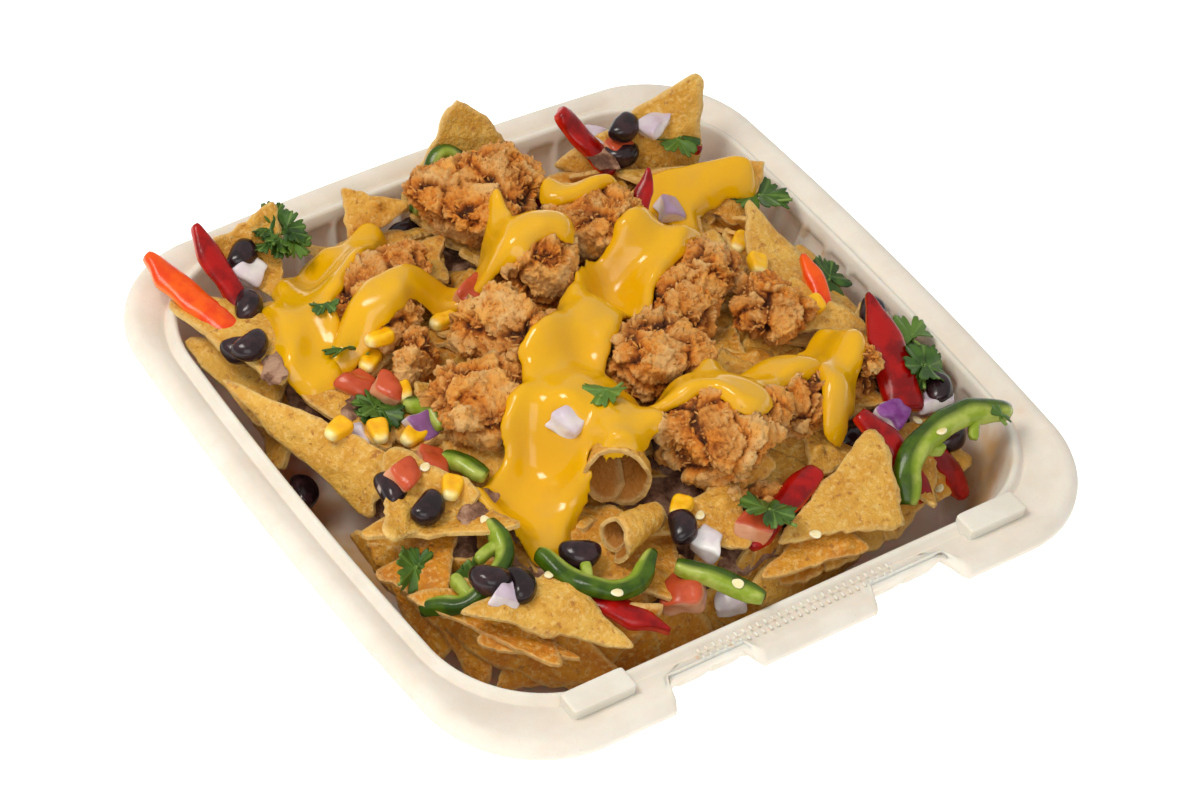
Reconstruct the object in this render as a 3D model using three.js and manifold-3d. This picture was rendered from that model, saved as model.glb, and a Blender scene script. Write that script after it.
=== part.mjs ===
// Loaded nachos in a moulded-fibre takeaway tray.
// A square tray holds a heap of tortilla chips under chicken, cheese sauce and cut vegetables.
// Millimetres, +Z up. The origin is under the middle of the tray, on the surface it stands on.
// The tray's front, the edge with the closing tongue, faces -Y.
import * as THREE from "three";
import { mergeVertices } from "three/addons/utils/BufferGeometryUtils.js";
import Module from "manifold-3d";

const wasm = await Module();
wasm.setup();

// Driving dimensions of the tray
const WALL = 1.4;
const RIM_HEIGHT = 38.6;
const OUTER = { halfX: 114, front: -115.2, back: 112.8, radius: 37.6, bow: 2.4 };
const MOUTH = { halfX: 101.5, front: -97.5, back: 101.5, radius: 36, bow: 1.5 };
const FLUTES_PER_SIDE = 11;
const PLAIN_SIDE_STEPS = 4;
const CORNER_STEPS = 5;
const LEAST_CORNER = 12;
const FLUTE_DEPTH = 1.4;
const NOTCH = { from: 21, to: 50, y: -105.5, radius: 3, slope: 0.6, overrun: 6 };
const TONGUE_SETBACK = 2.2;
const LOCK_BLOCK = { x: 70.5, y: -101.5, length: 21, width: 8, height: 4.6, taper: 1.4, sunk: 1.9 };

// The tray's upper face from its rolled edge to its floor: outline, inset, height and flute depth
const TRAY_PROFILE = [
  { outline: OUTER, inset: 0, z: RIM_HEIGHT - 4.4 },
  { outline: OUTER, inset: 3.4, z: RIM_HEIGHT - 0.6 },
  { outline: MOUTH, inset: -1.5, z: RIM_HEIGHT },
  { outline: MOUTH, inset: 0.3, z: RIM_HEIGHT - 1.4 },
  { outline: MOUTH, inset: 2.6, z: 30, flute: FLUTE_DEPTH },
  { outline: MOUTH, inset: 12.5, z: 4.4, flute: FLUTE_DEPTH },
  { outline: MOUTH, inset: 16, z: WALL },
  { outline: MOUTH, inset: 20, z: WALL },
];

// Driving dimensions of the food
const GAP = 0.7;
const LEAST_GAP = 0.35;
const CHIP_THICKNESS = 1.9;
const CORE = { halfX: 97, halfY: 95.5, middleY: 2.5, power: 4, top: 48, drop: 8, shoulder: 3 };
const CORE_SIDE = [{ share: 0.86, z: WALL + 0.6 }, { share: 0.93, z: 16 }, { share: 0.985, z: 30 }];
const CORE_RINGS = [0.93, 0.74, 0.4];
const CORE_AROUND = 22;
const EMPTY_CORNER = { x: 104, y: -100, reach: 46, depth: 26, flat: 0.2 };
const LOW_SIDE = { from: 72, to: 97, depth: 13, ends: -15, begins: 15 };
const SAUCE = { thickness: 4.2, smoothing: 4, stepsPerPoint: 1.5, endShare: 0.55, crown: 0.72 };
const LARGE_CHUNK = 17;
const CHUNK_LUMPS = [
  { axis: "x", size: 0.13, waves: 3.4, shift: 2.1 },
  { axis: "y", size: 0.12, waves: 4.1, shift: 1.3 },
  { axis: "z", size: 0.11, waves: 4.9, shift: 3.7 },
];
const STRIP_SECTION = [[-0.5, -0.5], [0.5, -0.5], [0.42, 0.5], [-0.42, 0.5]];
const STRIP_TAPER = 0.5;
const DICE = { sag: 0.2, splay: 0.12 };
const LEAF = { around: 15, thickness: 1, cleft: 0.62, narrow: 0.8, wave: 0.12 };
const BEAN = { length: 12.5, width: 8.4, height: 7.6 };
const KERNEL = { length: 9, width: 7.5, height: 5.5 };

// Colours as they look on the plate
const COLOURS = {
  tray: 0xe6dcc8,
  chips: 0xd9a441,
  chicken: 0xc07a3c,
  sauce: 0xf2b32c,
  red: 0xc4201c,
  orange: 0xe8651e,
  jalapeno: 0x5f8c22,
  tomato: 0xd9623f,
  onion: 0xd8cbd8,
  bean: 0x2a1a1c,
  leaf: 0x3c5f26,
};

// Pieces of chicken: centre, half sizes, turn about the vertical in degrees
const CHICKEN = [
  { at: [1, 72, 55], half: [20.5, 16, 14], turn: -20 },
  { at: [1, 38, 55], half: [16, 15, 13], turn: 10 },
  { at: [-43, 54, 49], half: [18.5, 15, 12], turn: 40 },
  { at: [27, 46, 54], half: [17, 12.5, 11], turn: -30 },
  { at: [-23, 17, 56], half: [16, 14, 13], turn: 20 },
  { at: [-43, 0, 51], half: [14, 15, 13], turn: 0 },
  { at: [-49, 28, 46], half: [9, 8.5, 9], turn: 30 },
  { at: [48, 15, 52], half: [12.5, 11.5, 9.5], turn: 0 },
  { at: [13, -12, 54], half: [16, 14, 11], turn: -40 },
  { at: [57, -6, 49], half: [12.5, 11.5, 11], turn: 25 },
  { at: [11, -46, 54], half: [22, 15, 13], turn: -15 },
  { at: [9, -65, 41], half: [15, 8, 5], turn: -10 },
  { at: [42, -41, 47], half: [12.5, 14, 11], turn: 35 },
  { at: [69, -37, 45], half: [7, 8, 11], turn: 0 },
];

// Cut vegetables that are strips: points that the strip runs through, width and thickness
const PEPPERS = [
  { through: [[-98, 101, 50], [-93, 84, 46], [-87, 66, 42]], width: 8.5, thick: 3.4, colour: "orange" },
  { through: [[-83, 99, 57], [-81, 86, 49], [-79, 72, 41]], width: 7, thick: 3.4, colour: "red" },
  { through: [[46, 92, 57], [51, 84, 49], [57, 75, 40]], width: 7.5, thick: 3.4, colour: "red" },
  { through: [[75, 78, 47], [81, 74, 45], [87, 69, 42]], width: 6, thick: 3.4, colour: "red" },
  { through: [[16, 66, 51], [22, 61, 52], [28, 58, 50]], width: 7, thick: 3.2, colour: "red" },
  { through: [[50, 50, 62], [44, 45, 57], [37, 41, 50]], width: 5, thick: 3, colour: "red" },
  { through: [[79, 6, 51], [78, -4, 48], [75, -14, 43]], width: 6, thick: 3.2, colour: "orange" },
  { through: [[84, -20, 51], [83, -38, 48], [74, -56, 40]], width: 11, thick: 3.4, colour: "red" },
  { through: [[55, -55, 48], [60, -68, 43], [62, -83, 33]], width: 8, thick: 3.4, colour: "red" },
  { through: [[-1, -77, 40], [14, -72, 44], [31, -66, 46]], width: 8.5, thick: 3.2, colour: "red" },
  { through: [[-53, -71, 41], [-46, -81, 40], [-38, -91, 37]], width: 8, thick: 3.2, colour: "red" },
  { through: [[74, -67, 36], [79, -74, 30], [82, -80, 22]], width: 9, thick: 3.4, colour: "red" },
];
const JALAPENOS = [
  { through: [[-10, 87, 39], [4, 93, 52], [16, 83, 41]], width: 5, thick: 4 },
  { through: [[-94, -48, 35], [-82, -56, 41], [-68, -50, 45], [-65, -38, 47]], width: 5.5, thick: 4.4 },
  { through: [[-60, -54, 46], [-54, -70, 45], [-42, -77, 45], [-31, -70, 46]], width: 5.5, thick: 4.4 },
  { through: [[-26, -75, 43], [-17, -87, 43], [-10, -97, 42]], width: 6, thick: 4.2 },
  { through: [[53, -85, 37], [60, -75, 46], [80, -71, 50], [97, -75, 47]], width: 6, thick: 4.4 },
  { through: [[-62, -9, 45], [-59, -15, 47], [-56, -22, 46]], width: 6, thick: 3.4 },
  { through: [[-60, 15, 45], [-56, 8, 48], [-57, 0, 46]], width: 5, thick: 3.6 },
];

// Diced vegetables: centre, size, turn about the vertical and tilt in degrees
const TOMATOES = [
  { at: [-67, 30, 43], size: [10, 9, 8], turn: 20, tilt: 15 },
  { at: [-67, -11, 44], size: [17, 9, 8], turn: 65, tilt: 12 },
  { at: [-25, -80, 37], size: [14, 11, 8], turn: 40, tilt: -20 },
  { at: [-20, 40, 51], size: [13, 8, 8], turn: 30, tilt: 20 },
];
const ONIONS = [
  { at: [-70, 86, 44], size: [10, 8, 6], turn: 30, tilt: 30 },
  { at: [-78, 15, 41], size: [10, 8, 5], turn: 60, tilt: -20 },
  { at: [57, 86, 46], size: [10, 7, 4.5], turn: -30, tilt: 20 },
  { at: [-12, -72, 43], size: [9, 8, 6], turn: 35, tilt: 10 },
  { at: [67, -58, 45], size: [9, 8, 6], turn: 15, tilt: 25 },
];
const BEANS = [
  { at: [-79, 73, 44], turn: 60 },
  { at: [-90, 58, 44], turn: -20 },
  { at: [-88, 23, 14], turn: 70 },
  { at: [-83, -13, 46], turn: 80 },
  { at: [-49, -60, 46], turn: -30 },
  { at: [-71, -62, 46], turn: 75 },
];

// Small pieces half sunk in the heap, one body with it
const SUNK_BEANS = [
  { at: [-78, -25, 47], turn: 30 },
  { at: [50, -59, 45], turn: -10 },
];
const SUNK_CHICKEN = [
  { at: [-4, 9, 51], half: [12, 11, 10], turn: 0 },
  { at: [-22, -17, 49], half: [13, 12, 10], turn: 15 },
  { at: [34, 8, 48], half: [15, 12, 10], turn: 50 },
];

// Sprigs of fresh coriander: centre, radius, turn and tilt in degrees
const LEAVES = [
  { at: [-57, 92, 49], radius: 8, turn: 20, tilt: 25 },
  { at: [89, 41, 43], radius: 8, turn: 40, tilt: 35 },
  { at: [94, -27, 42], radius: 9, turn: -20, tilt: 30 },
  { at: [88, -46, 45], radius: 7, turn: 70, tilt: 20 },
];

// Streams of cheese sauce: plan points with the half width there
const SAUCES = {
  sauce_left: [
    [[-29, 83, 5], [-38, 78, 7], [-52, 74, 10], [-64, 66, 11], [-71, 54, 10], [-75, 41, 9]],
  ],
  sauce_middle: [
    [[-66, 39, 5], [-53, 45, 7], [-38, 47, 6], [-22, 44, 6], [-6, 41, 7], [7, 39, 6]],
    [[-10, 45, 5], [0, 58, 4], [5, 66, 4]],
  ],
  sauce_back: [
    [[21, 57, 5], [37, 57, 6], [54, 55, 7], [70, 52, 7], [85, 48, 6]],
    [[62, 52, 6], [60, 41, 5]],
  ],
  sauce_main: [
    [
      [55, 33, 6], [38, 32, 9], [20, 22, 11], [0, 10, 10],
      [-15, -2, 10], [-29, -15, 12], [-40, -27, 13], [-53, -39, 9],
    ],
    [[-18, -14, 10], [-12, -29, 10], [-10, -40, 8]],
    [[-47, -27, 8], [-57, -30, 6]],
  ],
  sauce_right: [
    [[-4, -31, 6], [9, -34, 7], [23, -34, 8], [38, -33, 8], [51, -34, 6]],
    [[13, -36, 6], [18, -47, 6]],
  ],
  sauce_drip: [
    [[66, -29, 6], [57, -41, 8], [46, -54, 5]],
  ],
};

// Tortilla chips: three corner points and how far the chip is rolled, in degrees
const CHIPS = [
  { corners: [[90, 79, 68], [44, 88, 37], [82, 64, 32]], roll: -40 },
  { corners: [[13, 103, 70], [-12, 92, 36], [34, 86, 36]], roll: 30 },
  { corners: [[98, 46, 53], [58, 67, 46], [80, 38, 34]], roll: -45 },
  { corners: [[80, 38, 50], [90, -17, 36], [62, 8, 46]], roll: 40 },
  { corners: [[-30, 100, 50], [-10, 86, 47], [-34, 84, 39]], roll: 25 },
  { corners: [[-52, 102, 54], [-80, 99, 46], [-64, 74, 35]], roll: -70 },
  { corners: [[-101, 90, 44], [-95, 40, 41], [-60, 66, 44]], roll: 30 },
  { corners: [[-99, 80, 34], [-94, 36, 30], [-70, 54, 38]], roll: 50 },
  { corners: [[-82, -10, 38], [-102, 54, 46], [-66, 32, 44]], roll: -60 },
  { corners: [[-84, 38, 40], [-58, 24, 44], [-74, 0, 42]], roll: -30 },
  { corners: [[-80, 0, 46], [-95, -34, 42], [-60, -27, 47]], roll: 75 },
  { corners: [[-102, -20, 41], [-58, -48, 47], [-66, -18, 43]], roll: -35 },
  { corners: [[-99, -30, 35], [-88, -54, 34], [-70, -28, 40]], roll: 40 },
  { corners: [[-98, -42, 37], [-70, -88, 31], [-62, -56, 40]], roll: -50 },
  { corners: [[-92, -60, 43], [-56, -62, 46], [-51, -93, 39]], roll: 30 },
  { corners: [[-12, -32, 52], [-38, -46, 51], [-10, -56, 51]], roll: 230 },
  { corners: [[-34, -54, 45], [-40, -66, 45], [-22, -68, 49]], roll: 160 },
  { corners: [[-27, -60, 43], [9, -57, 48], [-2, -81, 42]], roll: 25 },
  { corners: [[4, -81, 41], [56, -61, 51], [46, -93, 40]], roll: 35 },
  { corners: [[-4, -87, 37], [33, -94, 38], [28, -74, 40]], roll: 30 },
  { corners: [[4, -88, 31], [24, -91, 32], [12, -68, 36]], roll: 30 },
  { corners: [[-88, -66, 33], [-62, -86, 31], [-74, -58, 38]], roll: -60 },
  { corners: [[72, 4, 48], [86, -24, 44], [58, -14, 44]], roll: 25 },
  { corners: [[74, -60, 37], [92, -70, 25], [68, -84, 27]], roll: 30 },
  { corners: [[93, 24, 37], [94, -14, 34], [68, 4, 42]], roll: 35 },
  { corners: [[92, 62, 38], [56, 74, 44], [68, 42, 44]], roll: 35 },
  { corners: [[60, -90, 34], [88, -56, 34], [52, -60, 42]], roll: 30 },
];

// Sweetcorn kernels that lie on the heap: centre and turn in degrees
const KERNELS = [
  { at: [-52, 41, 45], turn: 0 },
  { at: [-73, 9, 45], turn: 70 },
  { at: [-67, -21, 46], turn: 50 },
  { at: [67, 12, 47], turn: 60 },
  { at: [-27, -63, 46], turn: 35 },
];

const up = new THREE.Vector3(0, 0, 1);
const vector = (p) => new THREE.Vector3(...p);
const radians = THREE.MathUtils.degToRad;

// Closed meshes as solids, and back

/** A geometry's positions alone, with shared corners merged. */
function merged(geometry) {
  const bare = geometry.index ? geometry.toNonIndexed() : geometry.clone();
  const positions = new THREE.BufferGeometry().setAttribute("position", bare.getAttribute("position"));
  return mergeVertices(positions, 1e-3);
}

/** A closed geometry as a solid with its faces pointing out. */
function solid(geometry) {
  const whole = merged(geometry);
  const triVerts = new Uint32Array(whole.index.array);
  const vertProperties = new Float32Array(whole.attributes.position.array);
  const made = new wasm.Manifold(new wasm.Mesh({ numProp: 3, vertProperties, triVerts }));
  if (made.volume() > 0) return made;
  for (let i = 0; i < triVerts.length; i += 3) {
    [triVerts[i + 1], triVerts[i + 2]] = [triVerts[i + 2], triVerts[i + 1]];
  }
  return new wasm.Manifold(new wasm.Mesh({ numProp: 3, vertProperties, triVerts }));
}

/** A solid's surface as a geometry. */
function surface(made) {
  const mesh = made.getMesh();
  return new THREE.BufferGeometry()
    .setAttribute("position", new THREE.BufferAttribute(new Float32Array(mesh.vertProperties), 3))
    .setIndex(new THREE.BufferAttribute(new Uint32Array(mesh.triVerts), 1));
}

/** The same solid, a gap larger all round, to cut a clear seat for it. */
function grown(made, gap) {
  const geometry = surface(made);
  geometry.computeVertexNormals();
  const { position, normal } = geometry.attributes;
  for (let i = 0; i < position.count; i++) {
    position.setXYZ(
      i,
      position.getX(i) + gap * normal.getX(i),
      position.getY(i) + gap * normal.getY(i),
      position.getZ(i) + gap * normal.getZ(i),
    );
  }
  return solid(geometry);
}

/** The largest of a solid's separate bodies: a cut can leave loose scraps. */
function largest(made) {
  return made.decompose().reduce((best, body) => (body.volume() > best.volume() ? body : best));
}

/** A solid less a clear seat for each neighbour that it meets. */
function clearOf(made, neighbours) {
  let left = made;
  for (const neighbour of neighbours) {
    if (left.intersect(grown(neighbour, LEAST_GAP).add(neighbour)).volume() === 0) continue;
    left = left.subtract(grown(neighbour, GAP).add(neighbour));
  }
  return largest(left);
}

/** Geometry from a list of points and a list of triangles. */
function geometryFrom(points, triangles) {
  return new THREE.BufferGeometry()
    .setAttribute("position", new THREE.Float32BufferAttribute(points.flatMap((p) => [p.x, p.y, p.z]), 3))
    .setIndex(triangles.flat());
}

/** Two triangles for each cell between two rows of point numbers. */
function strip(rowA, rowB, closed) {
  const triangles = [];
  const cells = closed ? rowA.length : rowA.length - 1;
  for (let i = 0; i < cells; i++) {
    const j = (i + 1) % rowA.length;
    triangles.push([rowA[i], rowA[j], rowB[j]], [rowA[i], rowB[j], rowB[i]]);
  }
  return triangles;
}

// The tray

/** One ring of a rounded square with bowed sides; a fluted ring has every second side point pushed out. */
function ring({ halfX, front, back, radius, bow }, inset, z, flute = 0) {
  const x = halfX - inset;
  const [low, high] = [front + inset, back - inset];
  const r = Math.max(radius - inset, LEAST_CORNER);
  const corners = [[x - r, low + r], [x - r, high - r], [-x + r, high - r], [-x + r, low + r]];
  const steps = flute ? 2 * FLUTES_PER_SIDE : PLAIN_SIDE_STEPS;
  const points = [];
  corners.forEach(([cx, cy], side) => {
    const start = (side - 1) * (Math.PI / 2);
    for (let k = 0; k < CORNER_STEPS; k++) {
      const angle = start + (k / (CORNER_STEPS - 1)) * (Math.PI / 2);
      points.push(new THREE.Vector3(cx + r * Math.cos(angle), cy + r * Math.sin(angle), z));
    }
    const outward = start + Math.PI / 2;
    const [nx, ny] = [Math.cos(outward), Math.sin(outward)];
    const [ex, ey] = corners[(side + 1) % 4];
    for (let k = 0; k < steps; k++) {
      const t = (k + 0.5) / steps;
      const bulge = r + (side === 3 ? 0 : 4 * t * (1 - t) * bow) + (k % 2 ? flute : 0);
      points.push(new THREE.Vector3(cx + (ex - cx) * t + nx * bulge, cy + (ey - cy) * t + ny * bulge, z));
    }
  });
  return points;
}

/** Triangles between two closed rows of point numbers that may differ in length. */
function zip(rowA, rowB, points) {
  const turns = (row) => row.map((p) => Math.atan2(points[p].y, points[p].x));
  const fromStart = (angles) => angles.map((a) => (a - angles[0] + 4 * Math.PI + 1e-6) % (2 * Math.PI));
  const [a, b] = [fromStart(turns(rowA)), fromStart(turns(rowB))];
  const triangles = [];
  let [i, j] = [0, 0];
  while (i < a.length || j < b.length) {
    const nextA = i + 1 < a.length ? a[i + 1] : 2 * Math.PI;
    const nextB = j + 1 < b.length ? b[j + 1] : 2 * Math.PI;
    const [pa, pb] = [rowA[i % a.length], rowB[j % b.length]];
    if (j >= b.length || (i < a.length && nextA <= nextB)) {
      triangles.push([pa, rowA[(i + 1) % a.length], pb]);
      i++;
    } else {
      triangles.push([pa, rowB[(j + 1) % b.length], pb]);
      j++;
    }
  }
  return triangles;
}

/** A shell of even thickness under a surface of rings that ends in a flat floor. */
function shell(rings, thickness) {
  const points = [...rings.flat(), new THREE.Vector3(0, 0, rings.at(-1)[0].z)];
  const centre = points.length - 1;
  let first = 0;
  const rows = rings.map((row) => row.map(() => first++));
  const faces = rows.slice(1).flatMap((row, i) => zip(rows[i], row, points));
  const last = rows.at(-1);
  last.forEach((p, j) => faces.push([p, last[(j + 1) % last.length], centre]));
  const top = geometryFrom(points, faces);
  top.computeVertexNormals();
  const { normal } = top.attributes;
  const under = points.map((p, i) =>
    p.clone().addScaledVector(new THREE.Vector3().fromBufferAttribute(normal, i), -thickness),
  );
  const shift = points.length;
  const underFaces = faces.map(([a, b, c]) => [a + shift, c + shift, b + shift]);
  const edge = strip(rows[0], rows[0].map((p) => p + shift), true).map(([a, b, c]) => [a, c, b]);
  return geometryFrom([...points, ...under], [...faces, ...underFaces, ...edge]);
}

/** The bare tray: rolled rim, fluted wall and flat floor. */
function trayShell() {
  return shell(TRAY_PROFILE.map(({ outline, inset, z, flute }) => ring(outline, inset, z, flute)), WALL);
}

/** A cut through the front edge of the rim, from the notch's inner line outwards. */
function notchCut(side) {
  const { from, to, y, radius, slope, overrun } = NOTCH;
  const far = OUTER.front - overrun;
  const shape = new THREE.Shape();
  shape.moveTo(side * from, far);
  shape.lineTo(side * from, y - radius);
  shape.quadraticCurveTo(side * from, y, side * (from + radius), y);
  shape.lineTo(side * (to - radius), y);
  shape.quadraticCurveTo(side * to, y, side * (to + radius * slope), y - radius);
  shape.lineTo(side * (to + radius), far);
  const depth = RIM_HEIGHT;
  const geometry = new THREE.ExtrudeGeometry(shape, { depth, bevelEnabled: false, curveSegments: 3 });
  return solid(geometry.translate(0, 0, RIM_HEIGHT / 2));
}

/** The tongue between the notches stops a little short of the corners. */
function tongueCut() {
  const box = new THREE.BoxGeometry(2 * NOTCH.from + 2, 2 * TONGUE_SETBACK, RIM_HEIGHT);
  return solid(box.translate(0, OUTER.front, RIM_HEIGHT));
}

/** A raised block on the front rim that the lid would lock over. */
function lockBlock(side) {
  const { x, y, length, width, height, taper, sunk } = LOCK_BLOCK;
  const box = new THREE.BoxGeometry(length, width, height);
  const { position } = box.attributes;
  for (let i = 0; i < position.count; i++) {
    if (position.getZ(i) < 0) continue;
    position.setX(i, position.getX(i) - Math.sign(position.getX(i)) * taper);
    position.setY(i, position.getY(i) - Math.sign(position.getY(i)) * taper);
  }
  return solid(box.translate(side * x, y, RIM_HEIGHT + height / 2 - sunk));
}

/** The tray with its notches, tongue and locking blocks. */
function traySolid() {
  let made = solid(trayShell());
  for (const side of [-1, 1]) {
    made = made.subtract(notchCut(side)).add(lockBlock(side));
  }
  return largest(made.subtract(tongueCut()));
}

// The food

/** Distance from the heap's middle, 1 at its edge, on a rounded square. */
function heapReach(x, y) {
  const { halfX, halfY, middleY, power } = CORE;
  const sum = Math.abs(x / halfX) ** power + Math.abs((y - middleY) / halfY) ** power;
  return sum ** (1 / power);
}

/** Height of the bare heap, which falls away to the tray's right side and its emptier corner. */
function heapHeight(x, y) {
  const reach = heapReach(x, y);
  const toCorner = Math.hypot(x - EMPTY_CORNER.x, y - EMPTY_CORNER.y) / EMPTY_CORNER.reach;
  const hollow = EMPTY_CORNER.depth * (1 - THREE.MathUtils.smoothstep(toCorner, EMPTY_CORNER.flat, 1));
  const lowSide = THREE.MathUtils.smoothstep(y, LOW_SIDE.ends, LOW_SIDE.begins);
  const fall = lowSide * LOW_SIDE.depth * THREE.MathUtils.smoothstep(x, LOW_SIDE.from, LOW_SIDE.to);
  return CORE.top - CORE.drop * reach * reach - Math.max(hollow, fall);
}

/** The heap's core: a mound with a flat base, clear of the tray. */
function coreSolid() {
  const outline = (share, heightAt) =>
    Array.from({ length: CORE_AROUND }, (_, j) => {
      const angle = ((j + 0.5) / CORE_AROUND) * 2 * Math.PI;
      const [c, s] = [Math.cos(angle), Math.sin(angle)];
      const far = share / heapReach(c, s + CORE.middleY);
      const [x, y] = [far * c, CORE.middleY + far * s];
      return new THREE.Vector3(x, y, heightAt(x, y));
    });
  const rings = CORE_SIDE.map(({ share, z }) =>
    outline(share, (x, y) => Math.min(z, heapHeight(x, y) - CORE.shoulder)),
  );
  rings.push(...CORE_RINGS.map((share) => outline(share, heapHeight)));
  const points = [...rings.flat(), new THREE.Vector3(0, CORE.middleY, CORE.top)];
  points.push(new THREE.Vector3(0, CORE.middleY, CORE_SIDE[0].z));
  const rows = rings.map((_, i) => Array.from({ length: CORE_AROUND }, (__, j) => i * CORE_AROUND + j));
  const faces = rows.slice(1).flatMap((row, i) => strip(rows[i], row, true));
  rows.at(-1).forEach((p, j) => faces.push([p, rows.at(-1)[(j + 1) % CORE_AROUND], points.length - 2]));
  rows[0].forEach((p, j) => faces.push([rows[0][(j + 1) % CORE_AROUND], p, points.length - 1]));
  return solid(geometryFrom(points, faces));
}

/** A triangular chip, rolled about the line from its first corner to the middle of the far edge. */
function chipSolid({ corners, roll }) {
  const steps = 2 + Math.round(Math.abs(roll) / 90);
  const [a, b, c] = corners.map(vector);
  const middle = b.clone().add(c).multiplyScalar(0.5);
  const axis = middle.clone().sub(a).normalize();
  const normal = b.clone().sub(a).cross(c.clone().sub(a)).normalize();
  if (normal.z < 0) normal.negate();
  const across = normal.clone().cross(axis);
  const span = b.distanceTo(c);
  const bendRadius = span / radians(roll);
  const point = (i, j, lift) => {
    const flat = a.clone().multiplyScalar(1 - i / steps);
    flat.addScaledVector(b, (i - j) / steps).addScaledVector(c, j / steps);
    const side = flat.clone().sub(a).dot(across);
    const turn = side / bendRadius;
    const r = bendRadius + lift;
    flat.addScaledVector(across, r * Math.sin(turn) - side);
    return flat.addScaledVector(normal, r * Math.cos(turn) - bendRadius);
  };
  const points = [];
  const number = {};
  for (const lift of [CHIP_THICKNESS / 2, -CHIP_THICKNESS / 2]) {
    for (let i = 0; i <= steps; i++) {
      for (let j = 0; j <= i; j++) {
        number[[lift > 0, i, j]] = points.push(point(i, j, lift)) - 1;
      }
    }
  }
  const faces = [];
  for (let i = 0; i < steps; i++) {
    for (let j = 0; j <= i; j++) {
      for (const top of [true, false]) {
        const at = (di, dj) => number[[top, i + di, j + dj]];
        const cell = [[at(0, 0), at(1, 0), at(1, 1)]];
        if (j < i) cell.push([at(0, 0), at(1, 1), at(0, 1)]);
        faces.push(...cell.map(([p, q, r]) => (top ? [p, q, r] : [p, r, q])));
      }
    }
  }
  const rim = [];
  for (let i = 0; i < steps; i++) rim.push([i, 0]);
  for (let j = 0; j < steps; j++) rim.push([steps, j]);
  for (let i = steps; i > 0; i--) rim.push([i, i]);
  const edge = (top) => rim.map(([i, j]) => number[[top, i, j]]);
  faces.push(...strip(edge(false), edge(true), true));
  return solid(geometryFrom(points, faces));
}

/** A lumpy ellipsoid; each piece has its own lumps from its number in the list. */
function chickenSolid({ at, half, turn }, index) {
  const detail = Math.max(...half) > LARGE_CHUNK ? 2 : 1;
  const geometry = merged(new THREE.IcosahedronGeometry(1, detail));
  const { position } = geometry.attributes;
  const point = new THREE.Vector3();
  for (let i = 0; i < position.count; i++) {
    point.fromBufferAttribute(position, i);
    const lump = CHUNK_LUMPS.reduce(
      (sum, { axis, size, waves, shift }) => sum + size * Math.sin(waves * point[axis] + shift * index),
      1,
    );
    point.multiplyScalar(lump).multiply(vector(half));
    position.setXYZ(i, point.x, point.y, point.z);
  }
  return solid(geometry.rotateZ(radians(turn)).translate(...at));
}

/** A strip of flesh swept along a smooth curve, with its crowned skin side up and tapered ends. */
function stripSolid({ through, width, thick }) {
  const steps = through.length + 2;
  const curve = new THREE.CatmullRomCurve3(through.map(vector));
  const points = [];
  for (let i = 0; i <= steps; i++) {
    const t = i / steps;
    const tangent = curve.getTangent(t);
    const side = tangent.clone().cross(up).normalize();
    const normal = side.clone().cross(tangent);
    const taper = 1 - STRIP_TAPER * Math.abs(2 * t - 1) ** 4;
    for (const [u, v] of STRIP_SECTION) {
      const p = curve.getPoint(t);
      points.push(p.addScaledVector(side, u * width * taper).addScaledVector(normal, v * thick));
    }
  }
  const count = STRIP_SECTION.length;
  const row = (i) => Array.from({ length: count }, (_, j) => i * count + j);
  const faces = [];
  for (let i = 0; i < steps; i++) faces.push(...strip(row(i), row(i + 1), true));
  for (let j = 1; j < count - 1; j++) {
    faces.push([0, j + 1, j]);
    faces.push([steps * count, steps * count + j, steps * count + j + 1]);
  }
  return solid(geometryFrom(points, faces));
}

/** A dice cut from a curved layer: a block that is bent along its length. */
function diceSolid({ at, size, turn, tilt }) {
  const [length, depth, height] = size;
  const geometry = new THREE.BoxGeometry(length, depth, height, 2, 1, 1);
  const { position } = geometry.attributes;
  for (let i = 0; i < position.count; i++) {
    const sag = (2 * position.getX(i)) / length;
    position.setZ(i, position.getZ(i) - DICE.sag * height * sag * sag);
    position.setY(i, position.getY(i) * (1 - DICE.splay * sag));
  }
  return solid(geometry.rotateX(radians(tilt)).rotateZ(radians(turn)).translate(...at));
}

/** A plump oval with a few facets round it, for a bean or a kernel of corn. */
function ovalSolid({ at, turn }, { length, width, height }, facets) {
  const geometry = new THREE.SphereGeometry(0.5, facets, facets - 2);
  return solid(geometry.scale(length, width, height).rotateZ(radians(turn)).translate(...at));
}

/** A lobed leaf: a thin wavy plate whose two faces are split alike. */
function leafSolid({ at, radius, turn, tilt }) {
  const { around, thickness, cleft, narrow } = LEAF;
  const points = [new THREE.Vector3(0, 0, thickness / 2), new THREE.Vector3(0, 0, -thickness / 2)];
  for (let j = 0; j < around; j++) {
    const angle = (j / around) * 2 * Math.PI;
    const reach = radius * (j % 3 === 0 ? cleft : 1);
    const wave = LEAF.wave * radius * Math.sin(3 * angle);
    for (const half of [thickness / 2, -thickness / 2]) {
      points.push(new THREE.Vector3(reach * Math.cos(angle), narrow * reach * Math.sin(angle), wave + half));
    }
  }
  const faces = [];
  for (let j = 0; j < around; j++) {
    const [a, b] = [2 + 2 * j, 2 + 2 * ((j + 1) % around)];
    faces.push([0, a, b], [1, b + 1, a + 1], [a, a + 1, b + 1], [a, b + 1, b]);
  }
  const geometry = geometryFrom(points, faces);
  return solid(geometry.rotateX(radians(tilt)).rotateZ(radians(turn)).translate(...at));
}

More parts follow.
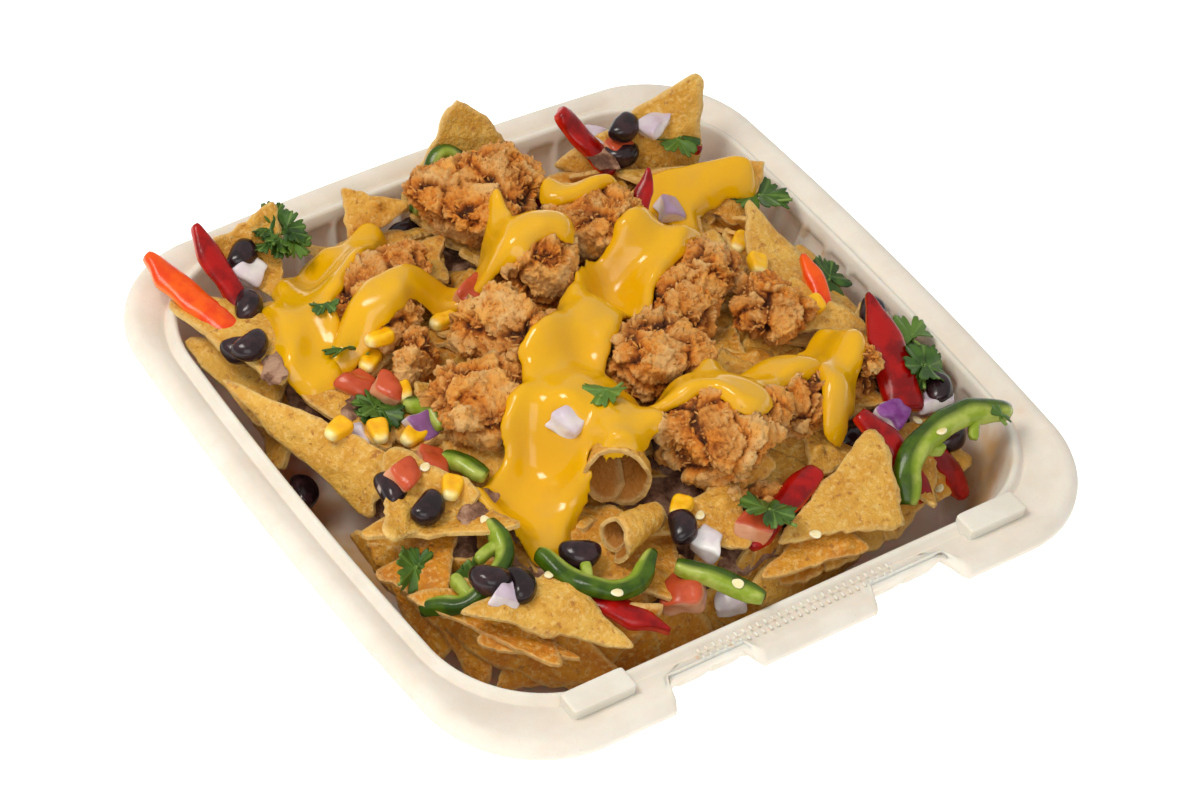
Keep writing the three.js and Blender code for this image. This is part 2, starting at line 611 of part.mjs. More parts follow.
/** The highest point of some solids at a place in plan, or the lowest level if nothing is there. */
function topFinder(solids, lowest) {
  const triangles = solids.flatMap((made) => {
    const { vertProperties, triVerts } = made.getMesh();
    const corners = Array.from(triVerts, (v) => Array.from(vertProperties.subarray(3 * v, 3 * v + 3)));
    return Array.from({ length: corners.length / 3 }, (_, t) => corners.slice(3 * t, 3 * t + 3));
  });
  return (x, y) => {
    let top = lowest;
    for (const [a, b, c] of triangles) {
      const area = (b[0] - a[0]) * (c[1] - a[1]) - (c[0] - a[0]) * (b[1] - a[1]);
      if (area <= 0) continue;
      const u = ((x - a[0]) * (c[1] - a[1]) - (c[0] - a[0]) * (y - a[1])) / area;
      const v = ((b[0] - a[0]) * (y - a[1]) - (x - a[0]) * (b[1] - a[1])) / area;
      if (u < 0 || v < 0 || u + v > 1) continue;
      top = Math.max(top, a[2] + u * (b[2] - a[2]) + v * (c[2] - a[2]));
    }
    return top;
  };
}

/** One stream of sauce: a ribbon that drapes over what is under it, thick in the middle. */
function streamSolid(plan, topAt) {
  const curve = new THREE.CatmullRomCurve3(plan.map(([x, y]) => new THREE.Vector3(x, y, 0)));
  const widths = new THREE.CatmullRomCurve3(plan.map(([, , w], i) => new THREE.Vector3(w, i, 0)));
  const steps = Math.round(SAUCE.stepsPerPoint * plan.length);
  const across = [-1, -0.5, 0, 0.5, 1];
  const spots = [];
  for (let i = 0; i <= steps; i++) {
    const t = i / steps;
    const tangent = curve.getTangent(t);
    const half = widths.getPoint(t).x * (i === 0 || i === steps ? SAUCE.endShare : 1);
    spots.push(
      across.map((v) => {
        const p = curve.getPoint(t);
        return new THREE.Vector3(p.x - tangent.y * v * half, p.y + tangent.x * v * half, 0);
      }),
    );
  }
  const near = (i, k) => [spots[i - 1]?.[k], spots[i + 1]?.[k], spots[i][k - 1], spots[i][k + 1]];
  const bed = spots.map((row, i) =>
    row.map((p, k) => {
      const around = near(i, k).filter(Boolean).map((q) => topAt((p.x + q.x) / 2, (p.y + q.y) / 2));
      return Math.max(topAt(p.x, p.y), ...around) + GAP;
    }),
  );
  spots.forEach((row, i) => row.forEach((p, k) => p.setZ(bed[i][k])));
  for (let pass = 0; pass < SAUCE.smoothing; pass++) {
    spots.forEach((row, i) =>
      row.forEach((p, k) => {
        const sides = near(i, k).filter(Boolean);
        const mean = sides.reduce((sum, q) => sum + q.z, 0) / sides.length;
        p.setZ(Math.max(bed[i][k], mean));
      }),
    );
  }
  const points = [];
  for (const lift of [1, 0]) {
    spots.forEach((row) =>
      row.forEach((p, k) => {
        const swell = 1 - SAUCE.crown * across[k] * across[k];
        points.push(new THREE.Vector3(p.x, p.y, p.z + lift * SAUCE.thickness * swell));
      }),
    );
  }
  const count = across.length;
  const shift = points.length / 2;
  const row = (i) => Array.from({ length: count }, (_, k) => i * count + k);
  const faces = [];
  for (let i = 0; i < steps; i++) {
    const top = strip(row(i), row(i + 1), false);
    faces.push(...top, ...top.map(([a, b, c]) => [a + shift, c + shift, b + shift]));
  }
  const rim = [...row(0)];
  for (let i = 1; i <= steps; i++) rim.push(i * count + count - 1);
  rim.push(...row(steps).slice(0, -1).reverse());
  for (let i = steps - 1; i > 0; i--) rim.push(i * count);
  faces.push(...strip(rim.map((p) => p + shift), rim, true));
  return solid(geometryFrom(points, faces));
}

// Putting the plate together

const group = new THREE.Group();
group.name = "loaded_nachos";

/** Adds a solid to the part as a named mesh. */
function place(name, made, colour, roughness) {
  const geometry = surface(made);
  geometry.computeVertexNormals();
  const material = new THREE.MeshStandardMaterial({ color: COLOURS[colour], roughness, metalness: 0 });
  const mesh = new THREE.Mesh(geometry, material);
  mesh.name = name;
  group.add(mesh);
}

const tray = traySolid();
const core = coreSolid();
const chips = CHIPS.map(chipSolid);
const sunk = [
  ...SUNK_CHICKEN.map(chickenSolid),
  ...SUNK_BEANS.map((item) => ovalSolid(item, BEAN, 5)),
  ...KERNELS.map((item) => ovalSolid(item, KERNEL, 5)),
];
const bareHeap = [...chips, ...sunk].reduce((a, b) => a.add(b), core);

const toppings = [];

/** Makes a kind of topping, each piece clear of the tray and of the pieces before it. */
function addToppings(kind, list, make, roughness) {
  list.forEach((item, index) => {
    const made = clearOf(make(item, index), [tray, ...toppings.map((t) => t.made)]);
    toppings.push({ name: `${kind}_${index + 1}`, made, colour: item.colour ?? kind, roughness });
  });
}

addToppings("chicken", CHICKEN, chickenSolid, 0.8);
addToppings("pepper", PEPPERS, stripSolid, 0.3);
addToppings("jalapeno", JALAPENOS, stripSolid, 0.35);
addToppings("tomato", TOMATOES, diceSolid, 0.4);
addToppings("onion", ONIONS, diceSolid, 0.35);
addToppings("bean", BEANS, (item) => ovalSolid(item, BEAN, 7), 0.3);
addToppings("leaf", LEAVES, leafSolid, 0.5);

const pieces = toppings.map((t) => t.made);
const topAt = topFinder([bareHeap, ...pieces], RIM_HEIGHT);
const sauces = [];
for (const [name, streams] of Object.entries(SAUCES)) {
  const poured = streams.map((plan) => streamSolid(plan, topAt)).reduce((a, b) => a.add(b));
  sauces.push({ name, made: clearOf(poured, [tray, ...pieces, ...sauces.map((s) => s.made)]) });
}

const heap = clearOf(bareHeap, [tray, ...pieces, ...sauces.map((s) => s.made)]);

place("tray", tray, "tray", 0.85);
place("chip_heap", heap, "chips", 0.75);
toppings.forEach(({ name, made, colour, roughness }) => place(name, made, colour, roughness));
sauces.forEach(({ name, made }) => place(name, made, "sauce", 0.2));

export default group;
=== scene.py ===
"""Loaded nachos in a moulded-fibre takeaway tray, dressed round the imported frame."""
import logging
import math
from dataclasses import dataclass, field, replace
from enum import Enum
from functools import partial
from typing import Any, Iterable, Sequence

import bmesh
import bpy
import numpy as np
from mathutils import Matrix, Vector
from mathutils.bvhtree import BVHTree


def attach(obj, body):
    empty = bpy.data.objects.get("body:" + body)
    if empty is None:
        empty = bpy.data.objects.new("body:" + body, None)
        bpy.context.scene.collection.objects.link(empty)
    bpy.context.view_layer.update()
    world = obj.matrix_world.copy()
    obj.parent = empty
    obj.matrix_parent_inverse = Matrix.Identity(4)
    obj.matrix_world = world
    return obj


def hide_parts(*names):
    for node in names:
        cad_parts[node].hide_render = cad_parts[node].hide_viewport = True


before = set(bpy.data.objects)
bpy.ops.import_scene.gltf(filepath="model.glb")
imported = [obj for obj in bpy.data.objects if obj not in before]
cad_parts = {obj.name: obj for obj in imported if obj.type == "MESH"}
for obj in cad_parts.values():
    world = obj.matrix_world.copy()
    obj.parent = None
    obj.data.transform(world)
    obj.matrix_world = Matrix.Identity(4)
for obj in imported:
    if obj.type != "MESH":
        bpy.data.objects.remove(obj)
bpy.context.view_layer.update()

LOG = logging.getLogger("nachos")
SCENE = bpy.context.scene
MM = 0.001
# Shift in plan for each mm of height along the photograph's line of sight
SIGHT_SLOPE = (-0.67, -0.77)
# Red light spreads farther than green and blue in food and in fibre
SUBSURFACE_SPREAD = (1.0, 0.5, 0.25)
Point = tuple[float, float, float]
Array = np.ndarray
Faces = list[tuple[int, ...]]
Inputs = dict[Any, Any]
MATH, VECTOR_MATH, MIX = "ShaderNodeMath", "ShaderNodeVectorMath", "ShaderNodeMix"
SPAN, ATTRIBUTE = "ShaderNodeMapRange", "ShaderNodeAttribute"


def linear(colour: str) -> tuple[float, float, float, float]:
    """Turns an sRGB hex colour into linear RGBA.

    Args:
        colour: six hex digits.

    Returns:
        Linear red, green, blue and an alpha of one.
    """
    channels = [int(colour[i : i + 2], 16) / 255 for i in (0, 2, 4)]
    bent = [c / 12.92 if c <= 0.04045 else ((c + 0.055) / 1.055) ** 2.4 for c in channels]
    return (*bent, 1.0)


def add_node(tree: Any, kind: str, inputs: Inputs | None = None, **settings: Any) -> Any:
    """Adds a node with its settings, and sets or links its inputs.

    Args:
        tree: shader or geometry node tree.
        kind: the node's type name.
        inputs: socket name or number to a value, a hex colour, or the socket that feeds it.
        settings: properties of the node itself.

    Returns:
        The new node's outputs.
    """
    node = tree.nodes.new(kind)
    for name, value in settings.items():
        setattr(node, name, value)
    for key, value in (inputs or {}).items():
        socket = node.inputs[key]
        if isinstance(value, bpy.types.NodeSocket):
            tree.links.new(value, socket)
        else:
            socket.default_value = linear(value) if socket.type == "RGBA" else value
    return node.outputs


class Ripple:
    """A smooth random field: a few seeded plane waves of about one wavelength."""

    def __init__(self, wavelength: float, seed: int, waves: int = 12) -> None:
        """Draws the waves.

        Args:
            wavelength: typical distance between crests, mm.
            seed: fixes the draw.
            waves: how many waves are added.
        """
        rng = np.random.default_rng(seed)
        directions = rng.normal(size=(waves, 3))
        directions /= np.linalg.norm(directions, axis=1)[:, None]
        lengths = wavelength * rng.uniform(0.7, 1.5, waves)
        self.vectors = directions * (2 * math.pi / lengths)[:, None]
        self.phases = rng.uniform(0, 2 * math.pi, waves)
        self.scale = math.sqrt(2 / waves)

    def at(self, points: Array) -> Array:
        """Field values, about -2 to 2, at points given in mm."""
        return np.sin(points @ self.vectors.T + self.phases).sum(axis=1) * self.scale


def shaken(points: Array, wavelength: float, seed: int, depth: float) -> Array:
    """Points that are moved a little, each axis by a ripple of its own."""
    return points + np.column_stack([Ripple(wavelength, seed + i).at(points) for i in range(3)]) * depth


def smoothstep(value: Array | float, low: float, high: float) -> Array:
    """Goes smoothly from 0 at low to 1 at high."""
    t = np.clip((np.asarray(value, dtype=float) - low) / (high - low), 0, 1)
    return t * t * (3 - 2 * t)


def turn_matrix(turn: float, tilt: float = 0.0) -> Array:
    """A tilt about X and then a turn about Z, in degrees, as a 3 by 3 array."""
    spin = Matrix.Rotation(math.radians(turn), 3, "Z") @ Matrix.Rotation(math.radians(tilt), 3, "X")
    return np.array(spin)


def bands(rings: int, count: int, first: int = 0) -> Faces:
    """Four-sided faces between rings of points that follow each other.

    Args:
        rings: how many rings there are.
        count: points in each ring.
        first: number of the first ring's first point.

    Returns:
        The faces.
    """
    faces: Faces = []
    for a in range(first, first + (rings - 1) * count, count):
        b = a + count
        faces += [(a + j, a + (j + 1) % count, b + (j + 1) % count, b + j) for j in range(count)]
    return faces


def fan(first: int, count: int, tip: int) -> Faces:
    """Triangles between a ring of points and one point."""
    return [(first + j, first + (j + 1) % count, tip) for j in range(count)]


def smooth_curve(through: Sequence[Sequence[float]], steps: int) -> Array:
    """Points along a smooth curve through given points.

    Args:
        through: the points, in any number of dimensions.
        steps: how many stretches the whole curve has.

    Returns:
        One row for each of steps + 1 points.
    """
    knots = np.array(through, dtype=float)
    padded = np.concatenate([[2 * knots[0] - knots[1]], knots, [2 * knots[-1] - knots[-2]]])
    rows = []
    for t in np.linspace(0, len(knots) - 1, steps + 1):
        i = min(int(t), len(knots) - 2)
        u = t - i
        p0, p1, p2, p3 = padded[i : i + 4]
        bend, twist = 2 * p0 - 5 * p1 + 4 * p2 - p3, 3 * p1 - p0 - 3 * p2 + p3
        rows.append(0.5 * (2 * p1 + (p2 - p0) * u + bend * u**2 + twist * u**3))
    return np.array(rows)


@dataclass
class Shape:
    """Points in mm, faces, and named values on the points."""

    points: Array
    faces: Faces
    values: dict[str, Array] = field(default_factory=dict)

    def placed(self, at: Point, turn: float = 0.0, tilt: float = 0.0) -> "Shape":
        """The same shape tilted, turned and moved."""
        points = self.points @ turn_matrix(turn, tilt).T + np.array(at)
        return Shape(points, self.faces, self.values)


def joined(shapes: Iterable[Shape]) -> Shape:
    """Puts shapes into one.

    Args:
        shapes: the shapes; a value that one of them lacks is zero there.

    Returns:
        The one shape.
    """
    shapes = list(shapes)
    names = sorted({name for shape in shapes for name in shape.values})
    faces: Faces = []
    offset = 0
    for shape in shapes:
        faces.extend(tuple(i + offset for i in face) for face in shape.faces)
        offset += len(shape.points)
    values = {}
    for name in names:
        values[name] = np.concatenate([s.values.get(name, np.zeros(len(s.points))) for s in shapes])
    return Shape(np.concatenate([s.points for s in shapes]), faces, values)


def make_object(name: str, shape: Shape, material: bpy.types.Material) -> Any:
    """Makes a smooth-shaded mesh object at the origin from a shape in mm.

    Args:
        name: the piece's name.
        shape: points, faces and point values.
        material: its finish.

    Returns:
        The object, linked to the scene.
    """
    mesh = bpy.data.meshes.new(name)
    mesh.from_pydata((shape.points * MM).tolist(), [], shape.faces)
    for key, numbers in shape.values.items():
        mesh.attributes.new(key, "FLOAT", "POINT").data.foreach_set("value", numbers.astype(np.float32))
    mesh.polygons.foreach_set("use_smooth", np.full(len(mesh.polygons), True))
    made = bpy.data.objects.new(name, mesh)
    SCENE.collection.objects.link(made)
    outward = bmesh.new()
    outward.from_mesh(mesh)
    bmesh.ops.recalc_face_normals(outward, faces=outward.faces)
    outward.to_mesh(mesh)
    outward.free()
    mesh.materials.append(material)
    return made


def rounded_block(size: Point, squareness: float, cuts: int = 10) -> Shape:
    """A rounded block about the origin.

    Args:
        size: its three sizes.
        squareness: 2 for an oval, higher for a sharper block.
        cuts: how often each side of a face is divided.

    Returns:
        A closed shape with a value for its upper, skin side.
    """
    work = bmesh.new()
    bmesh.ops.create_cube(work, size=2.0)
    bmesh.ops.subdivide_edges(work, edges=work.edges, cuts=cuts, use_grid_fill=True)
    points = np.array([vert.co[:] for vert in work.verts])
    faces = [tuple(vert.index for vert in face.verts) for face in work.faces]
    work.free()
    reach = (np.abs(points) ** squareness).sum(axis=1) ** (1 / squareness)
    points = points / reach[:, None]
    skin = smoothstep(points[:, 2], 0.55, 0.85)
    return Shape(points * np.array(size) / 2, faces, {"skin": skin})


def settle(piece: Any, nodes: Sequence[str]) -> Any:
    """Hangs a finished piece on the frame's root, hides the solids that it stands for and logs them.

    Args:
        piece: the finished object.
        nodes: the solids that it replaces.

    Returns:
        The same object.
    """
    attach(piece, "root")
    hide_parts(*nodes)
    LOG.info("%s: %d faces, stands for %s", piece.name, len(piece.data.polygons), ", ".join(nodes))
    return piece


def bake(piece: Any) -> Any:
    """Turns a piece's live modifiers into plain mesh and removes them.

    Args:
        piece: the object.

    Returns:
        The same object.
    """
    graph = bpy.context.evaluated_depsgraph_get()
    mesh = bpy.data.meshes.new_from_object(piece.evaluated_get(graph))
    piece.modifiers.clear()
    piece.data = mesh
    return piece


def evened(piece: Any, voxel_mm: float, relaxing: int) -> Any:
    """Gives a piece a fine, even mesh and relaxes it.

    Args:
        piece: the object.
        voxel_mm: size of the even mesh's cells.
        relaxing: how often each point is drawn towards its neighbours.

    Returns:
        The same object.
    """
    remesh = piece.modifiers.new("even mesh", "REMESH")
    remesh.mode = "VOXEL"
    remesh.voxel_size = voxel_mm * MM
    remesh.use_smooth_shade = True
    relax = piece.modifiers.new("relaxed", "SMOOTH")
    relax.iterations = relaxing
    return bake(piece)


class Ground:
    """The pieces laid so far, for later ones to rest on."""

    inside = 91.0
    floor = 1.4
    slide = 7.0
    sky = 0.2

    def __init__(self, pieces: Sequence[Any]) -> None:
        """Builds one search tree over some pieces.

        Args:
            pieces: the objects.
        """
        points: list[Any] = []
        faces: Faces = []
        for piece in pieces:
            shift = len(points)
            points.extend(vert.co.copy() for vert in piece.data.vertices)
            faces.extend(tuple(i + shift for i in face.vertices) for face in piece.data.polygons)
        self.tree = BVHTree.FromPolygons(points, faces)

    def top(self, x: float, y: float, lowest: float = floor) -> float:
        """Height in mm of the highest surface at a place in plan."""
        hit = self.tree.ray_cast(Vector((x * MM, y * MM, self.sky)), Vector((0, 0, -1)))[0]
        return max(hit.z / MM, lowest) if hit else lowest

    def rest(self, at: Point, lift: float) -> Point:
        """Slides a point along the camera's line of sight towards the ground, and then sets it down.

        Args:
            at: where the point is guessed to be, mm.
            lift: how high it stays over the surface.

        Returns:
            The settled point, inside the tray.
        """
        x, y, z = at
        for _ in range(6):
            low, high = at[2] - self.slide - z, at[2] + self.slide - z
            rise = float(np.clip(0.6 * (self.top(x, y) + lift - z), low, high))
            x, y, z = x + SIGHT_SLOPE[0] * rise, y + SIGHT_SLOPE[1] * rise, z + rise
        x, y = (float(np.clip(v, -self.inside, self.inside)) for v in (x, y))
        return (x, y, self.top(x, y) + lift)


class GeometryTree:
    """A geometry node group with named sizes, ready to be filled and applied."""

    def __init__(self, name: str, sizes: dict[str, float]) -> None:
        """Opens a group with a geometry socket at both ends and one number for each size.

        Args:
            name: the group's name.
            sizes: named inputs and their usual values.
        """
        self.tree = bpy.data.node_groups.new(name, "GeometryNodeTree")
        sockets = self.tree.interface
        sockets.new_socket("Geometry", in_out="INPUT", socket_type="NodeSocketGeometry")
        sockets.new_socket("Geometry", in_out="OUTPUT", socket_type="NodeSocketGeometry")
        self.identifiers: dict[str, str] = {}
        for label, usual in sizes.items():
            socket = sockets.new_socket(label, in_out="INPUT", socket_type="NodeSocketFloat")
            socket.default_value = usual
            self.identifiers[label] = socket.identifier
        self.add = partial(add_node, self.tree)
        self.source = self.add("NodeGroupInput")

    def close(self, geometry: Any, material: bpy.types.Material) -> None:
        """Ends the group in Realize Instances and Set Material.

        Args:
            geometry: the socket with the finished geometry.
            material: the finish of everything the group makes.
        """
        real = self.add("GeometryNodeRealizeInstances", {"Geometry": geometry})[0]
        dressed = self.add("GeometryNodeSetMaterial", {"Geometry": real, "Material": material})
        self.add("NodeGroupOutput", {"Geometry": dressed[0]})

    def apply(self, piece: Any, sizes: dict[str, float]) -> Any:
        """Runs the group on a piece and keeps the result as plain mesh.

        Args:
            piece: the object to change.
            sizes: values for some of the named inputs.

        Returns:
            The same object.
        """
        modifier = piece.modifiers.new(self.tree.name, "NODES")
        modifier.node_group = self.tree
        for label, value in sizes.items():
            modifier[self.identifiers[label]] = value
        return bake(piece)


@dataclass(frozen=True)
class Grain:
    """A noise pattern: size of its blotches in mm, octaves, their strength, and the span that shows."""

    size_mm: float
    detail: float = 3.0
    rough: float = 0.55
    low: float = 0.36
    high: float = 0.64

    def lay(self, tree: Any, place: Any) -> tuple[Any, Any]:
        """Adds the pattern to a shader or geometry tree.

        Args:
            tree: the tree.
            place: coordinates in metres.

        Returns:
            The bare noise, around 0.5, and the span that shows, drawn out smoothly to 0 to 1.
        """
        sizes = {"Scale": 1 / (self.size_mm * MM), "Detail": self.detail, "Roughness": self.rough}
        noise = add_node(tree, "ShaderNodeTexNoise", {"Vector": place, **sizes})[0]
        span = {"Value": noise, "From Min": self.low, "From Max": self.high}
        shown = add_node(tree, SPAN, span, interpolation_type="SMOOTHSTEP")
        return noise, shown["Result"]


@dataclass(frozen=True)
class Coat:
    """A coat of colour: shades along a grain or a mesh value, laid where another one says."""

    shades: tuple[str, ...]
    along: Grain | str | None = None
    where: Grain | str | None = None
    strength: float = 1.0
    stops: tuple[float, ...] = (0.0, 1.0)

    def follow(self, source: Grain | str, tree: Any, place: Any) -> Any:
        """The socket, 0 to 1, of a grain, or of a value that the mesh carries."""
        own = isinstance(source, str)
        return add_node(tree, ATTRIBUTE, attribute_name=source)["Fac"] if own else source.lay(tree, place)[1]

    def over(self, under: Any, tree: Any, place: Any) -> Any:
        """Lays the coat over the colour so far.

        Args:
            under: socket of the colour so far, which the first coat does without.
            tree: shader tree.
            place: object coordinates.

        Returns:
            The socket of the new colour.
        """
        colour: Any = self.shades[0]
        if self.along:
            scale = add_node(tree, "ShaderNodeValToRGB", {"Fac": self.follow(self.along, tree, place)})
            elements = scale[0].node.color_ramp.elements
            while len(elements) < len(self.shades):
                elements.new(0.5)
            for element, stop, shade in zip(elements, self.stops, self.shades):
                element.position = stop
                element.color = linear(shade)
            colour = scale["Color"]
        if not self.where:
            return colour
        terms = {0: self.follow(self.where, tree, place), 1: self.strength}
        cover = add_node(tree, MATH, terms, operation="MULTIPLY")[0]
        mixed = add_node(tree, MIX, {"Factor": cover, 6: under, 7: colour}, data_type="RGBA")
        return mixed[2]


@dataclass(frozen=True)
class Finish:
    """What every finish has: gloss, depth, coats of colour and a fine relief."""

    name: str = "plain"
    roughness: float = 0.5
    ior: float = 1.45
    subsurface: float = 0.0
    subsurface_mm: float = 1.0
    coats: tuple[Coat, ...] = ()
    relief: tuple[Grain, ...] = ()
    relief_mm: float = 0.3
    relief_strength: float = 0.5

    def coated(self) -> tuple[Coat, ...]:
        """The coats of colour, from the lowest up."""
        return self.coats

    def make(self) -> bpy.types.Material:
        """Builds the material from its coats and its relief.

        Returns:
            The material.
        """
        material = bpy.data.materials.new(self.name)
        material.use_nodes = True
        tree = material.node_tree
        shader = tree.nodes["Principled BSDF"]
        gloss = {"Roughness": self.roughness, "IOR": self.ior, "Subsurface Weight": self.subsurface}
        depth = {"Subsurface Radius": SUBSURFACE_SPREAD, "Subsurface Scale": self.subsurface_mm * MM}
        for socket, value in {**gloss, **depth}.items():
            shader.inputs[socket].default_value = value
        place = add_node(tree, "ShaderNodeTexCoord")["Object"]
        colour: Any = None
        for coat in self.coated():
            colour = coat.over(colour, tree, place)
        tree.links.new(colour, shader.inputs["Base Color"])
        height: Any = 0.0
        for grain in self.relief:
            terms = {0: grain.lay(tree, place)[0], 1: height}
            height = add_node(tree, MATH, terms, operation="ADD")[0]
        sizes = {"Height": height, "Distance": self.relief_mm * MM, "Strength": self.relief_strength}
        bump = add_node(tree, "ShaderNodeBump", sizes)
        tree.links.new(bump["Normal"], shader.inputs["Normal"])
        return material


@dataclass(frozen=True)
class Mark:
    """A ragged patch on the tray, its middle and size in mm, and its tint: sauce stains, and warm patches
    partly painted with light reflected off the chips.
    """

    at: Point
    size: float
    tint: str


# Drops of sauce on the front rim, smears along the right wall, and warm patches on floor and wall beside the
# chips that are partly oil soak and partly painted warm reflection
MARKS = (
    *(Mark(at, 4.2, "DDB48A") for at in ((-37.0, -103.0, 39.0), (-26.0, -104.0, 39.0))),
    *(Mark(at, 7.0, "CDB695") for at in ((100.0, 20.0, 32.0), (101.0, 30.0, 33.0), (99.0, 6.0, 31.0))),
    # Smears at the right front: partly oil, partly painted warm reflection of the chips
    *(Mark(at, 7.0, "CDB695") for at in ((100.0, -42.0, 35.0), (99.0, -62.0, 30.0))),
    # Warm patches on floor and walls: partly oil soak, partly painted warm light bounced off the chips
    *(Mark(at, 44.0, "D2A870") for at in ((-86.0, 24.0, 2.0), (-84.0, -2.0, 2.0))),
    *(Mark(at, 44.0, "D2A870") for at in ((-92.0, 48.0, 10.0), (96.0, -76.0, 20.0))),
)


@dataclass(frozen=True)
class MouldedFibre(Finish):
    """Pressed plant pulp: matt, cream, with short fibres and a faint mould grain."""

    name: str = "moulded plant fibre"
    roughness: float = 0.85
    ior: float = 1.4
    subsurface: float = 0.3
    subsurface_mm: float = 2.0
    coats: tuple[Coat, ...] = (
        Coat(("E5DFD2", "DFD7C8"), Grain(14, 4, low=0.35, high=0.65)),
        Coat(("D6CAB4",), where=Grain(0.9, 5, 0.7, 0.62, 0.72)),
    )
    relief: tuple[Grain, ...] = (Grain(0.8, 5, 0.7),)
    relief_mm: float = 0.25

    def make(self) -> bpy.types.Material:
        """Builds the material and mixes the marks, sauce stains and painted warm reflections, into its upper
        side.

        Returns:
            The material.
        """
        material = super().make()
        tree = material.node_tree
        base = tree.nodes["Principled BSDF"].inputs["Base Color"]
        colour = base.links[0].from_socket
        add = partial(add_node, tree)
        place = add("ShaderNodeTexCoord")["Object"]
        upper = add(ATTRIBUTE, attribute_name="upper")["Fac"]
        for mark in MARKS:
            size = mark.size * MM
            centre = tuple(value * MM for value in mark.at)
            gap = add(VECTOR_MATH, {0: place, 1: centre}, operation="DISTANCE")["Value"]
            noise = Grain(mark.size / 2).lay(tree, place)[0]
            ragged = add(MATH, {0: noise, 1: size, 2: gap}, operation="MULTIPLY_ADD")[0]
            span = {"Value": ragged, "From Min": size, "From Max": 0.6 * size}
            # Cover of each mark: sauce stains, and warm patches that are partly painted reflection
            mark_cover = add(SPAN, span, interpolation_type="SMOOTHSTEP")["Result"]
            shown = add(MATH, {0: mark_cover, 1: upper}, operation="MULTIPLY")[0]
            mix = {"Factor": shown, 6: colour, 7: mark.tint}
            colour = add(MIX, mix, data_type="RGBA")[2]
        tree.links.new(colour, base)
        return material


# Fried corn dough: golden, blistered and speckled, deeper orange where sauce and oil soak in
FRIED_TORTILLA = Finish(
    name="fried tortilla",
    roughness=0.45,
    subsurface=0.08,
    coats=(
        Coat(("D4962A", "E4B048"), Grain(9, 4, low=0.36, high=0.66)),
        Coat(("CA7808", "DF9416"), Grain(9, 4, low=0.36, high=0.66), "oil"),
        Coat(("F6D68A",), where=Grain(1.5, 3, 0.6, 0.48, 0.68), strength=0.42),
        Coat(("B4732A",), where=Grain(2.6, 4, 0.65, 0.55, 0.70)),
        Coat(("74430F",), where=Grain(0.8, 3, 0.7, 0.66, 0.74)),
        # Painted shade: the inner face of a tightly rolled chip is darkened for the shadow deep inside the
        # roll
        Coat(("A8661A",), where="browned", strength=0.896),
        Coat(("F6DA94",), where="rim", strength=0.6),
    ),
    relief=(Grain(5, 2), Grain(1.4, 5, 0.65)),
    relief_mm=1.1,
    relief_strength=0.9,
)
# Pulled cooked chicken under a dry spice rub: pale torn fibres and rusty crests; colour follows the stored
# height, so painted shade darkens low cracks and pits, and crests are lighter, partly painted light
SEASONED_CHICKEN = Finish(
    name="seasoned chicken",
    roughness=0.55,
    ior=1.4,
    subsurface=0.05,
    coats=(
        # Shades along the stored height: the dark low end is painted shade in cracks and pits
        Coat(("50280E", "AE6420", "DE9644", "F2C07A"), "relief", stops=(0.0, 0.26, 0.54, 1.0)),
        Coat(
            ("52260A", "BA6214", "E88E2C", "F5B054"), "relief", Grain(8, 4, low=0.4, high=0.62),
            stops=(0.0, 0.26, 0.54, 1.0),
        ),
        Coat(("F0C488",), where=Grain(1.3, 4, 0.7, 0.60, 0.74)),
        Coat(("7C3D0E",), where=Grain(1.0, 3, 0.7, 0.62, 0.72)),
    ),
    relief=(Grain(0.9, 5, 0.7),),
    relief_mm=1.0,
    relief_strength=1.0,
)


@dataclass(frozen=True)
class CheeseSauceFinish(Finish):
    """Warm processed-cheese sauce: opaque, glossy, deep yellow, drying to a duller skin in places."""

    name: str = "cheese sauce"
    ior: float = 1.47
    subsurface: float = 0.15
    subsurface_mm: float = 1.5
    coats: tuple[Coat, ...] = (Coat(("E0A804", "DAA422"), Grain(11, low=0.45, high=0.72)),)
    relief: tuple[Grain, ...] = (Grain(6, 2),)
    relief_mm: float = 0.5
    relief_strength: float = 0.25
    wet_to_dry: tuple[float, float] = (0.11, 0.26)

    def make(self) -> bpy.types.Material:
        """Builds the material, duller where its skin has dried.

        Returns:
            The material.
        """
        material = super().make()
        tree = material.node_tree
        place = add_node(tree, "ShaderNodeTexCoord")["Object"]
        wet, dry = self.wet_to_dry
        span = {"Value": self.coats[0].along.lay(tree, place)[1], "To Min": wet, "To Max": dry}
        dull = add_node(tree, SPAN, span)["Result"]
        tree.links.new(dull, tree.nodes["Principled BSDF"].inputs["Roughness"])
        return material


@dataclass(frozen=True)
class CutVegetable(Finish):
    """A cut of a fresh vegetable: a glossy coloured skin and a wetter, paler flesh."""

    roughness: float = 0.24
    ior: float = 1.38
    subsurface: float = 0.05
    relief: tuple[Grain, ...] = (Grain(1.6),)
    relief_mm: float = 0.25
    relief_strength: float = 0.35
    skin: tuple[str, str] = ("A80C06", "7E0404")
    flesh: tuple[str, str] = ("B81E0C", "CC4824")
    blotch_mm: float = 6.0

    def coated(self) -> tuple[Coat, ...]:
        """Flesh, and skin where the mesh has it."""
        return (Coat(self.flesh, Grain(self.blotch_mm)), Coat(self.skin, Grain(self.blotch_mm), "skin"))


# Boiled black bean: a tight, shiny, near-black skin with a small pale scar
BEAN_SKIN = Finish(
    name="black bean",
    roughness=0.2,
    coats=(
        Coat(("1E1114", "3A2226"), Grain(5, low=0.4, high=0.7)),
        Coat(("B9A79A",), where="scar"),
    ),
    relief=(Grain(2.4),),
    relief_mm=0.2,
    relief_strength=0.3,
)
